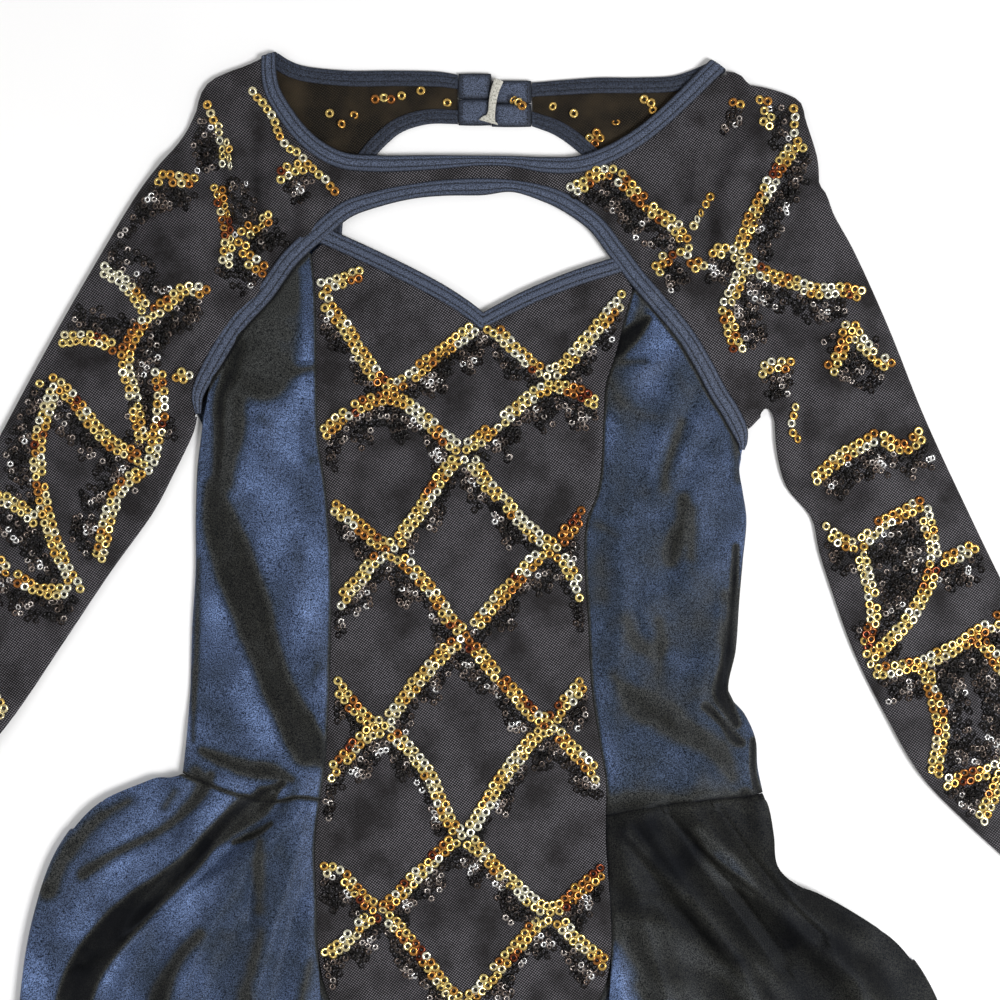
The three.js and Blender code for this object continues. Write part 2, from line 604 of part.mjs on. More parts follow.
// A leg is a tube below the crotch and open towards the middle above it
function leg({ inseam, side, panel, panelHip, panelSide }) {
  const [low, high] = [5, SEAM_ROWS.below];
  const towards = Math.sign(side[0][0] - CENTRE_BACK.x);
  const tube = stretch(inseam, 1, 0, low);
  const seam = stretch(panel, 1, panelHip, high, panelSide, SEAM / 2);
  const inner = join(tube, [tube[low], seam[0].clone().add(place([0, -0.8]))], [seam[0], ...seam.slice(1)]);
  const crotch = place([CENTRE_BACK.x + (towards * SEAM) / 2, CENTRE_BACK.crotch]);
  const waist = place([crotch.x, CENTRE_BACK.hip]);
  const backInner = join(tube, [tube[low], crotch], straight(crotch, waist, high));
  const outer = join(stretch(side, 1, [side[3][0], side[3][1]], low + 1), stretch(side, side[3], 0, high));
  return folded({
    inner, outer, backInner, backOuter: outer, closedTo: low, foldTo: low + 1 + high,
    cells: { front: 4, back: 3 }, frontHeight: legFrontHeight, backHeight: legBackHeight,
  });
}

// A side skirt is gathered to the hip seam from the centre panel round to the centre back
function skirt({ hip, hipSide, hem, edge, edgeSide, fold }) {
  const rows = 12;
  const wide = { front: 20, back: 3 };
  const towards = Math.sign(fold[0][0] - CENTRE_BACK.x);
  const outer = stretch(fold, 0, 1, rows);
  const inner = stretch(edge, 0, 1, rows, edgeSide, SEAM);
  const top = stretch(hip, 1, 0, wide.front, hipSide, SEAM / 2);
  top[0] = inner[0];
  top[wide.front] = outer[0];
  const front = raised(patch(top, stretch(hem, 0, 1, wide.front), inner, outer), frontHeight);
  front[0].at(-1).z = SIDE_HIP_LEVEL;
  const waist = place([CENTRE_BACK.x + (towards * SEAM) / 2, CENTRE_BACK.hip - SEAM]);
  const low = place([waist.x, CENTRE_BACK.hem]);
  const across = (from, row) => straight(from, outer[row], wide.back);
  const middle = straight(waist, low, rows);
  const under = raised(patch(across(waist, 0), across(low, rows), middle, outer), backHeight);
  return new Cloth()
    .sheet(front, 1)
    .sheet(under, -1)
    .fold(front.map((row) => row.at(-1)), under.map((row) => row.at(-1)), front.map((row) => row.at(-2)))
    .solid(CLOTH);
}

function neckBinding() {
  const front = stationsAlong(NECK_FRONT, 36, frontHeight, UP);
  const backHalf = (turn, table) => {
    const { at, width } = turn.at(-1);
    const behind = stationsAlong([[at.x, at.y, width], ...table], 14, backBindingHeight, DOWN);
    return [...turn, ...behind.slice(1)];
  };
  front[0].cut = new THREE.Vector3(-0.954, -0.3, 0);
  front.at(-1).cut = new THREE.Vector3(0.82, -0.572, 0);
  const left = backHalf(shoulderTurn(front[0], front[1], 5), NECK_BACK_LEFT);
  const right = backHalf(shoulderTurn(front.at(-1), front.at(-2), 5), NECK_BACK_RIGHT);
  left.at(-1).cut = right.at(-1).cut = END_CUT;
  return ribbon([...reversed(left), ...front, ...right], BINDING);
}

function keyholeBinding() {
  const stations = stationsAlong(KEYHOLE, 52, backBindingHeight, DOWN);
  stations[0].cut = stations.at(-1).cut = END_CUT;
  return ribbon(stations, BINDING);
}

function sweetheartBinding() {
  const left = stationsAlong(SWEETHEART_LEFT, 11, frontHeight, UP);
  const right = stationsAlong(SWEETHEART_RIGHT, 9, frontHeight, UP);
  left[0].cut = new THREE.Vector3(0.727, 0.687, 0);
  right.at(-1).cut = new THREE.Vector3(-0.607, 0.794, 0);
  return ribbon([...left, ...right.slice(1)], BINDING);
}

// One of the lobes in which the ends of the bindings are turned back and stitched
function tab([left, right, low, high]) {
  const [round, edge] = [2, 0.7];
  const outline = new THREE.Shape();
  const [x0, x1, y0, y1] = [left + edge, right - edge, low + edge, high - edge];
  outline.moveTo(x0 + round, y0);
  outline.lineTo(x1 - round, y0).quadraticCurveTo(x1, y0, x1, y0 + round);
  outline.lineTo(x1, y1 - round).quadraticCurveTo(x1, y1, x1 - round, y1);
  outline.lineTo(x0 + round, y1).quadraticCurveTo(x0, y1, x0, y1 - round);
  outline.lineTo(x0, y0 + round).quadraticCurveTo(x0, y0, x0 + round, y0);
  return new THREE.ExtrudeGeometry(outline, {
    depth: TAB - 2 * edge, bevelThickness: edge, bevelSize: edge, bevelSegments: 1, curveSegments: 2,
  }).translate(0, 0, edge);
}

// A slim swimwear clasp that lies across the tabs and ends in a foot
function clasp() {
  const bends = [[-3, 238.6], [-4.8, 233], [-5.4, 226], [-4.8, 219.6], [-6.4, 216], [-12, 215]];
  const path = bends.map((bend) => [...bend, CLASP.width]);
  return ribbon(stationsAlong(path, 16, () => TAB + CLASP.gap + CLASP.thick / 2, UP), CLASP.thick, 0.5);
}

add("centre_front", centreFront(), sheer());
add("side_front_left", sideFront({
  side: SIDE_LEFT, panel: PANEL_LEFT, panelHip: PANEL_HIP.left, seamSide: -1,
  archEnds: [[-165.5, 74], [-112, 143.6]], hip: HIP_LEFT, hipSide: 1,
}), satin());
add("side_front_right", sideFront({
  side: SIDE_RIGHT, panel: PANEL_RIGHT, panelHip: PANEL_HIP.right, seamSide: 1,
  archEnds: [[135, 42], [81, 122.4]], hip: HIP_RIGHT, hipSide: -1,
}), satin());
add("back", back(), satin());
add("yoke_sleeve_left", yokeSleeve({
  under: UNDERARM_LEFT, over: OVERARM_LEFT,
  underStops: [0, [-187, 16], 1], overStops: [0, [-268, 64], [-248, 99]],
  arch: [0.01, [-138, 112], [CENTRE_FRONT, 178]], neckFront: [0.02, [CENTRE_FRONT, 192.7]],
  raglan: { table: RAGLAN_LEFT, side: 1 }, raglanStop: [-126, 122], keyhole: [[-94, 152], 0],
  neckBack: { table: NECK_BACK_LEFT, side: -1 },
}), sheer());
add("yoke_sleeve_right", yokeSleeve({
  under: UNDERARM_RIGHT, over: OVERARM_RIGHT,
  underStops: [0, [153.6, 54], 1], overStops: [0, [219, 98], [200, 140]],
  arch: [[136, 40], [101, 99], [CENTRE_FRONT, 178]], neckFront: [0.98, [CENTRE_FRONT, 192.7]],
  raglan: { table: RAGLAN_RIGHT, side: -1 }, raglanStop: [110, 108], keyhole: [[80.4, 136], 1],
  neckBack: { table: NECK_BACK_RIGHT, side: 1 },
}), sheer());
add("leg_left", leg({
  inseam: INSEAM_LEFT, side: LEG_SIDE_LEFT, panel: PANEL_LEFT, panelHip: PANEL_HIP.left, panelSide: -1,
}), satin());
add("leg_right", leg({
  inseam: INSEAM_RIGHT, side: LEG_SIDE_RIGHT, panel: PANEL_RIGHT, panelHip: PANEL_HIP.right, panelSide: 1,
}), satin());
add("skirt_left", skirt({
  hip: HIP_LEFT, hipSide: -1, edge: SKIRT_EDGE_LEFT, edgeSide: -1, hem: SKIRT_HEM_LEFT,
  fold: SKIRT_FOLD_LEFT,
}), satin());
add("skirt_right", skirt({
  hip: HIP_RIGHT, hipSide: 1, edge: SKIRT_EDGE_RIGHT, edgeSide: 1, hem: SKIRT_HEM_RIGHT,
  fold: SKIRT_FOLD_RIGHT,
}), satin());
add("arch_binding", ribbon(stationsAlong(ARCH, 50, frontHeight, UP), BINDING), bound());
add("neck_binding", neckBinding(), bound());
add("sweetheart_binding", sweetheartBinding(), bound());
add("keyhole_binding", keyholeBinding(), bound());

// Columns: left, right, low and high edge of each lobe
const TABS = {
  tab_left_upper: [-23.6, -5.1, 228.2, 242.4],
  tab_left_lower: [-23.6, -5.1, 213.2, 227.8],
  tab_right_upper: [-4.7, 17.8, 225.7, 238.4],
  tab_right_lower: [-4.7, 17.8, 212.4, 225.3],
};
for (const [name, edges] of Object.entries(TABS)) add(name, tab(edges), bound());
add("clasp", clasp(), plastic());

export default group;
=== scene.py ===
"""A child's sequin dance biketard, laid face up on a pale table.

Sheer sequin net makes the yoke, the sleeves and the centre front; navy stretch
satin makes the side fronts, the back, the bike legs and the flared side skirts.
Folded navy bindings finish the edges, and a clear clasp closes the back neck.

Plan sizes are in millimetres, with +Y towards the neck and z = 0 on the table.
"""

import math

import bpy
import numpy as np
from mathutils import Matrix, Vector


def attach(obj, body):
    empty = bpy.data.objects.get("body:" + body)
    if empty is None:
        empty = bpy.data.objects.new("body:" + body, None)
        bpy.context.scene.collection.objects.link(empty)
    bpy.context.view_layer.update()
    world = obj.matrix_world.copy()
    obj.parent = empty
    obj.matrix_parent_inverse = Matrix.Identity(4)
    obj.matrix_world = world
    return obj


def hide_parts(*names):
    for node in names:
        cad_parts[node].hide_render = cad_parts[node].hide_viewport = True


bl_info = {
    "name": "Sequin biketard",
    "version": (1, 0, 0),
    "blender": (4, 5, 0),
    "location": "View3D > Sidebar > Biketard",
    "description": "Dresses the biketard's solids in net, satin, bindings and sequins",
    "category": "Object",
}

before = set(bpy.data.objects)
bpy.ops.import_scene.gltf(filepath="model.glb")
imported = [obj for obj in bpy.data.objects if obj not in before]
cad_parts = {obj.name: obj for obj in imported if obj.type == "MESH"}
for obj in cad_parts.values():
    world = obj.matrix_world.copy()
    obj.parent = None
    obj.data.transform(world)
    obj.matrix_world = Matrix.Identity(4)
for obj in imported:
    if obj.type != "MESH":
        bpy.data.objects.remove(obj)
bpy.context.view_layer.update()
MM = 0.001

# Heights of the middle of each layer above the table
BACK_LEVEL = 0.6
BINDING = 2.2
BACK_BINDING_LEVEL = BINDING / 2
LEG_BACK_LEVEL = 2.1
LEG_FRONT_LEVEL = 4.2
FRONT_LEVEL = 3.8
HIP_LEVEL = 6.1
SIDE_SEAM_LEVEL = 1.2
SIDE_HIP_LEVEL = 3.4
FRONT_LAYER = (1.6, 2.4)  # heights between which a sheet passes from the back to the front
TAB = 3.4

# Stretches of y in which a layer changes its height
HIP_RISE = (-95, -150)
CROTCH_FALL = (-262, -305)
LEG_LANDING = (-391, -405)

SEAM_GAP = 0.06  # half the space between two edges that are sewn together
TUCK = -2.4  # how far a panel runs on inside its binding
FOLD_BULGE = 1.6  # how far a folded edge stands out past its sheets
INSIDE_BELOW = 1.6  # height under which a face that looks up is the inside of the back yoke
SIDE_ROLL = 7  # width in which the front rolls over to the side seam
CLEAR_OF_BACK = 1.8  # lowest that the front may come over the back, and over a leg
CLEAR_OF_LEG = 5.2

# Outlines and seam lines as the garment lies. Columns: x, y
SIDE_LEFT = [
    (-169, 43), (-170, 35), (-172, 18), (-173, -11), (-173, -40), (-175, -74), (-176, -108),
    (-178, -136), (-180, -155),
]
SIDE_RIGHT = [
    (137, 24), (136, 17), (138, 4), (140, -11), (138, -34), (136, -57), (134, -85), (130, -110),
    (139, -122), (145, -136), (146, -151), (149, -166),
]
PANEL_LEFT = [
    (-107, 139.6), (-105, 119), (-104, 57), (-103, 34), (-99, 6), (-96, -34), (-96, -80), (-97, -114),
    (-99, -148), (-102, -170), (-105, -199), (-104, -227), (-103, -256), (-97, -282), (-79, -308),
    (-45, -334),
]
PANEL_RIGHT = [
    (75.5, 119.5), (71, 104), (66, 84), (60, 65), (59, 51), (56, 7), (49, -13), (48, -36), (50, -69),
    (52, -108), (56, -134), (60, -160), (60, -179), (60, -195), (61, -209), (63, -256), (57, -282),
    (39, -308), (5, -334),
]
HIP_LEFT = [
    (-180, -155), (-170, -159), (-156, -164), (-139, -170), (-128, -171), (-114, -168), (-102, -170),
]
HIP_RIGHT = [(149, -166), (140, -168), (114, -170), (80, -175), (60, -179)]
RAGLAN_LEFT = [(-172.5, 49.5), (-152, 84), (-126, 122), (-101, 150)]
RAGLAN_RIGHT = [(139.6, 43.6), (130, 72), (110, 108), (86, 134)]

# Binding centre lines. Columns: x, y, width
ARCH = [
    (-171.4, 49, 3.5), (-171.5, 60, 7.2), (-165, 74, 10), (-150, 99, 10.3), (-133, 118, 10.3),
    (-120, 136, 10.3), (-102, 153, 10.3), (-87, 165, 10), (-68, 171.5, 9.2), (-49, 175.5, 8.6),
    (-31, 177.4, 9.2), (-10, 178, 9.8), (7, 178.4, 7), (26, 173.8, 9.2), (38, 168.5, 10), (54, 157, 10),
    (65, 143, 10.3), (78, 126, 10.3), (91, 111, 10.3), (105, 94, 10.3), (116, 76, 10.3), (124, 61, 10.3),
    (130.6, 50.7, 10.3), (136, 40, 9.5), (137.8, 32.5, 5.5), (137.6, 28.5, 2.5),
]
NECK_FRONT = [
    (-131.5, 251.5, 8.4), (-131.4, 243, 8.8), (-129.5, 233, 9.2), (-121, 218, 9.5), (-111, 206, 9.5),
    (-100, 197.5, 9.6), (-88, 192.5, 9.6), (-68, 191, 9.6), (-40, 191.6, 8.6), (-11.6, 192.7, 6),
    (7, 192.3, 6.4), (26, 190.3, 9.2), (45, 190.7, 9.8), (62, 196.5, 9.8), (79.5, 206.7, 9.8),
    (93, 217.5, 9.8), (106.6, 230.2, 10), (117, 240.6, 10.2), (122.8, 246.2, 10.2),
]
NECK_BACK_LEFT = [
    (-122, 246.5, 8.5), (-113, 243, 8.6), (-87, 240, 8.8), (-61, 240, 8.8), (-35, 239.5, 8.5), (-24, 238, 8),
]
NECK_BACK_RIGHT = [
    (111, 240.8, 8.6), (100, 237.2, 8.8), (78, 236, 8.8), (56, 236, 8.8), (39, 235, 8.5), (18.2, 233.5, 8),
]
KEYHOLE = [
    (-24, 218, 8), (-42, 218, 8.5), (-58, 213, 8.5), (-68, 205, 8.5), (-76, 196, 8.5), (-89, 177, 8.5),
    (-94, 154, 8.5), (-92, 128, 8.5), (-80, 94, 8.5), (-58, 66, 8.5), (-30, 52, 8.5), (0, 49, 8.5),
    (30, 55, 8.5), (56, 76, 8.5), (74, 104, 8.5), (80, 130, 8.5), (77, 160, 8.5), (66, 182, 8.5),
    (50, 199, 8.5), (34, 211, 8.5), (18.2, 217, 8),
]
SWEETHEART_LEFT = [
    (-97.6, 149, 9.5), (-93, 147, 9.5), (-70, 136.5, 9.5), (-45.4, 124.4, 9.3), (-31, 116.5, 9),
    (-18, 108, 8.6), (-10, 101.5, 8.5),
]
SWEETHEART_RIGHT = [
    (-10, 101.5, 8.5), (-1, 106.5, 8.6), (17, 115.5, 9), (43, 126, 9.3), (65, 133, 9.5),
]

# Folded edges of the sleeves, from the wrist up. Columns: x, y
OVERARM_LEFT = [
    (-396, -163), (-384, -139), (-349, -80), (-318, -26), (-287, 28), (-259, 80), (-230, 131), (-200, 180),
    (-180.5, 203), (-174.5, 213), (-170.5, 222), (-169, 229), (-164, 236.5), (-153, 242), (-142, 246),
    (-136.4, 249.4),
]
UNDERARM_LEFT = [
    (-338, -198), (-310, -162), (-278, -122), (-251, -82), (-223, -40), (-198, -5), (-187, 16), (-180, 30),
    (-175.6, 40), (-174, 47.5),
]
OVERARM_RIGHT = [
    (350, -162), (318, -108), (288, -55), (262, -2), (239, 48), (219, 98), (199, 142), (188, 162), (184, 173),
    (180, 179), (179.5, 187), (178.5, 195), (172, 216), (169.5, 225), (161, 229.6), (149, 233), (141, 234.6),
    (136, 240), (132.2, 241.6), (129.1, 241.9),
]
UNDERARM_RIGHT = [
    (291, -205), (267, -183), (241, -156), (221, -122), (203, -86), (190, -50), (183, -28), (179, -10),
    (164.6, 8), (160.4, 21), (158.4, 34), (157.6, 46), (153.6, 54), (147, 48.4), (140.9, 42),
]

# Below the hip seam. Columns: x, y
SKIRT_FOLD_LEFT = [
    (-180, -157), (-187, -159), (-194, -159), (-203, -162), (-229, -174), (-250, -199), (-264, -239),
    (-271, -284), (-273, -330), (-268, -368),
]
SKIRT_FOLD_RIGHT = [
    (148, -168.5), (151.5, -176), (154.5, -192), (156.5, -209), (169, -220), (179, -224), (200, -235),
    (227, -254), (247, -285), (258, -330), (257, -368),
]
SKIRT_HEM_LEFT = [(-104, -376), (-150, -390), (-200, -396), (-240, -388), (-268, -368)]
SKIRT_HEM_RIGHT = [(62, -376), (110, -390), (160, -396), (215, -388), (257, -368)]
SKIRT_EDGE_LEFT = [
    (-102, -170.6), (-105, -199), (-104, -227), (-103, -256), (-101, -300), (-104, -376),
]
SKIRT_EDGE_RIGHT = [(60, -179.6), (60, -195), (61, -209), (63, -256), (61, -300), (62, -376)]
LEG_SIDE_LEFT = [(-170, -164), (-177, -200), (-181, -260), (-183, -338), (-182, -380), (-180, -424)]
LEG_SIDE_RIGHT = [(139, -172), (144, -205), (147, -260), (147, -338), (146, -380), (144, -424)]
INSEAM_LEFT = [(-24, -342), (-30, -385), (-36, -430)]
INSEAM_RIGHT = [(-16, -342), (-10, -385), (-4, -430)]
CENTRE_BACK = {"x": -20, "hip": -164.4, "crotch": -338, "hem": -382}
CENTRE_FRONT = -10
PANEL_HIP = {"left": (-102, -170), "right": (60, -179)}
SEAM_ROWS = {"bodice": 19, "below": 11}

# Folds of the front layer: a line, the width of the fold's left and right side, and
# its rise. Left and right are as one walks along the line.
FOLDS = [
    # left side front
    ([(-160, -28), (-134, -96), (-116, -140)], 8, 8, 1.6),
    ([(-130, 42), (-108, 16)], 6, 6, 1.3),
    ([(-168, -150), (-140, -160), (-112, -158)], 6, 6, 1.8),
    ([(-154, 20), (-150, -30)], 6, 6, 1.2),
    # right side front
    ([(112, 46), (92, 4)], 7, 7, 1.6),
    ([(120, -36), (76, -66)], 8, 8, 1.7),
    ([(66, -84), (104, -128)], 8, 8, 1.8),
    ([(127, -60), (122, -104), (132, -136)], 4.5, 4.5, 2),
    ([(98, 84), (72, 70)], 6, 6, 1.5),
    # centre front
    ([(-70, 112), (-34, 88)], 7, 7, 1.6),
    ([(-18, 86), (-24, 58)], 5, 5, 1.3),
    ([(2, 88), (10, 58)], 5, 5, 1.3),
    ([(20, 92), (50, 104)], 7, 7, 1.5),
    ([(-74, -20), (-20, -48)], 10, 10, 1.1),
    ([(-60, -110), (-30, -150)], 10, 10, 1),
    ([(10, -190), (-20, -240)], 10, 10, 1),
    # left yoke and sleeve
    ([(-154, 218), (-150, 186), (-147, 150)], 6, 6, 2.4),
    ([(-190, 84), (-166, 108)], 6, 6, 2),
    ([(-196, 160), (-180, 120)], 7, 7, 1.6),
    ([(-214, 92), (-232, 44)], 8, 8, 1.8),
    ([(-250, 30), (-262, -40)], 8, 8, 1.9),
    ([(-296, -46), (-322, -108)], 8, 8, 1.8),
    # right yoke and sleeve
    ([(143, 216), (132, 182), (122, 140)], 7, 7, 2.6),
    ([(168, 102), (186, 84)], 6, 6, 1.9),
    ([(196, 96), (190, 40)], 8, 8, 1.8),
    ([(222, 50), (212, -30)], 8, 8, 1.9),
    ([(262, -50), (250, -118)], 8, 8, 1.7),
    # left skirt
    ([(-180, -160), (-200, -176), (-226, -200), (-248, -240)], 8, 8, 5),
    ([(-158, -168), (-184, -200), (-212, -236), (-236, -290), (-250, -376)], 11, 11, 11),
    ([(-118, -172), (-146, -206), (-172, -248), (-196, -310), (-208, -394)], 11, 11, 9),
    ([(-112, -186), (-130, -236), (-148, -300), (-160, -390)], 9, 9, 7),
    ([(-108, -230), (-114, -300), (-120, -384)], 7, 7, 4),
    # right skirt
    ([(146, -172), (152, -200), (168, -226), (204, -250)], 7, 7, 4),
    ([(110, -173), (134, -200), (164, -232), (204, -270), (238, -350)], 11, 11, 11),
    ([(84, -178), (108, -218), (138, -262), (168, -320), (186, -392)], 11, 11, 9),
    ([(68, -190), (84, -240), (104, -304), (120, -390)], 9, 9, 7),
    ([(66, -252), (72, -310), (78, -378)], 7, 7, 4),
]

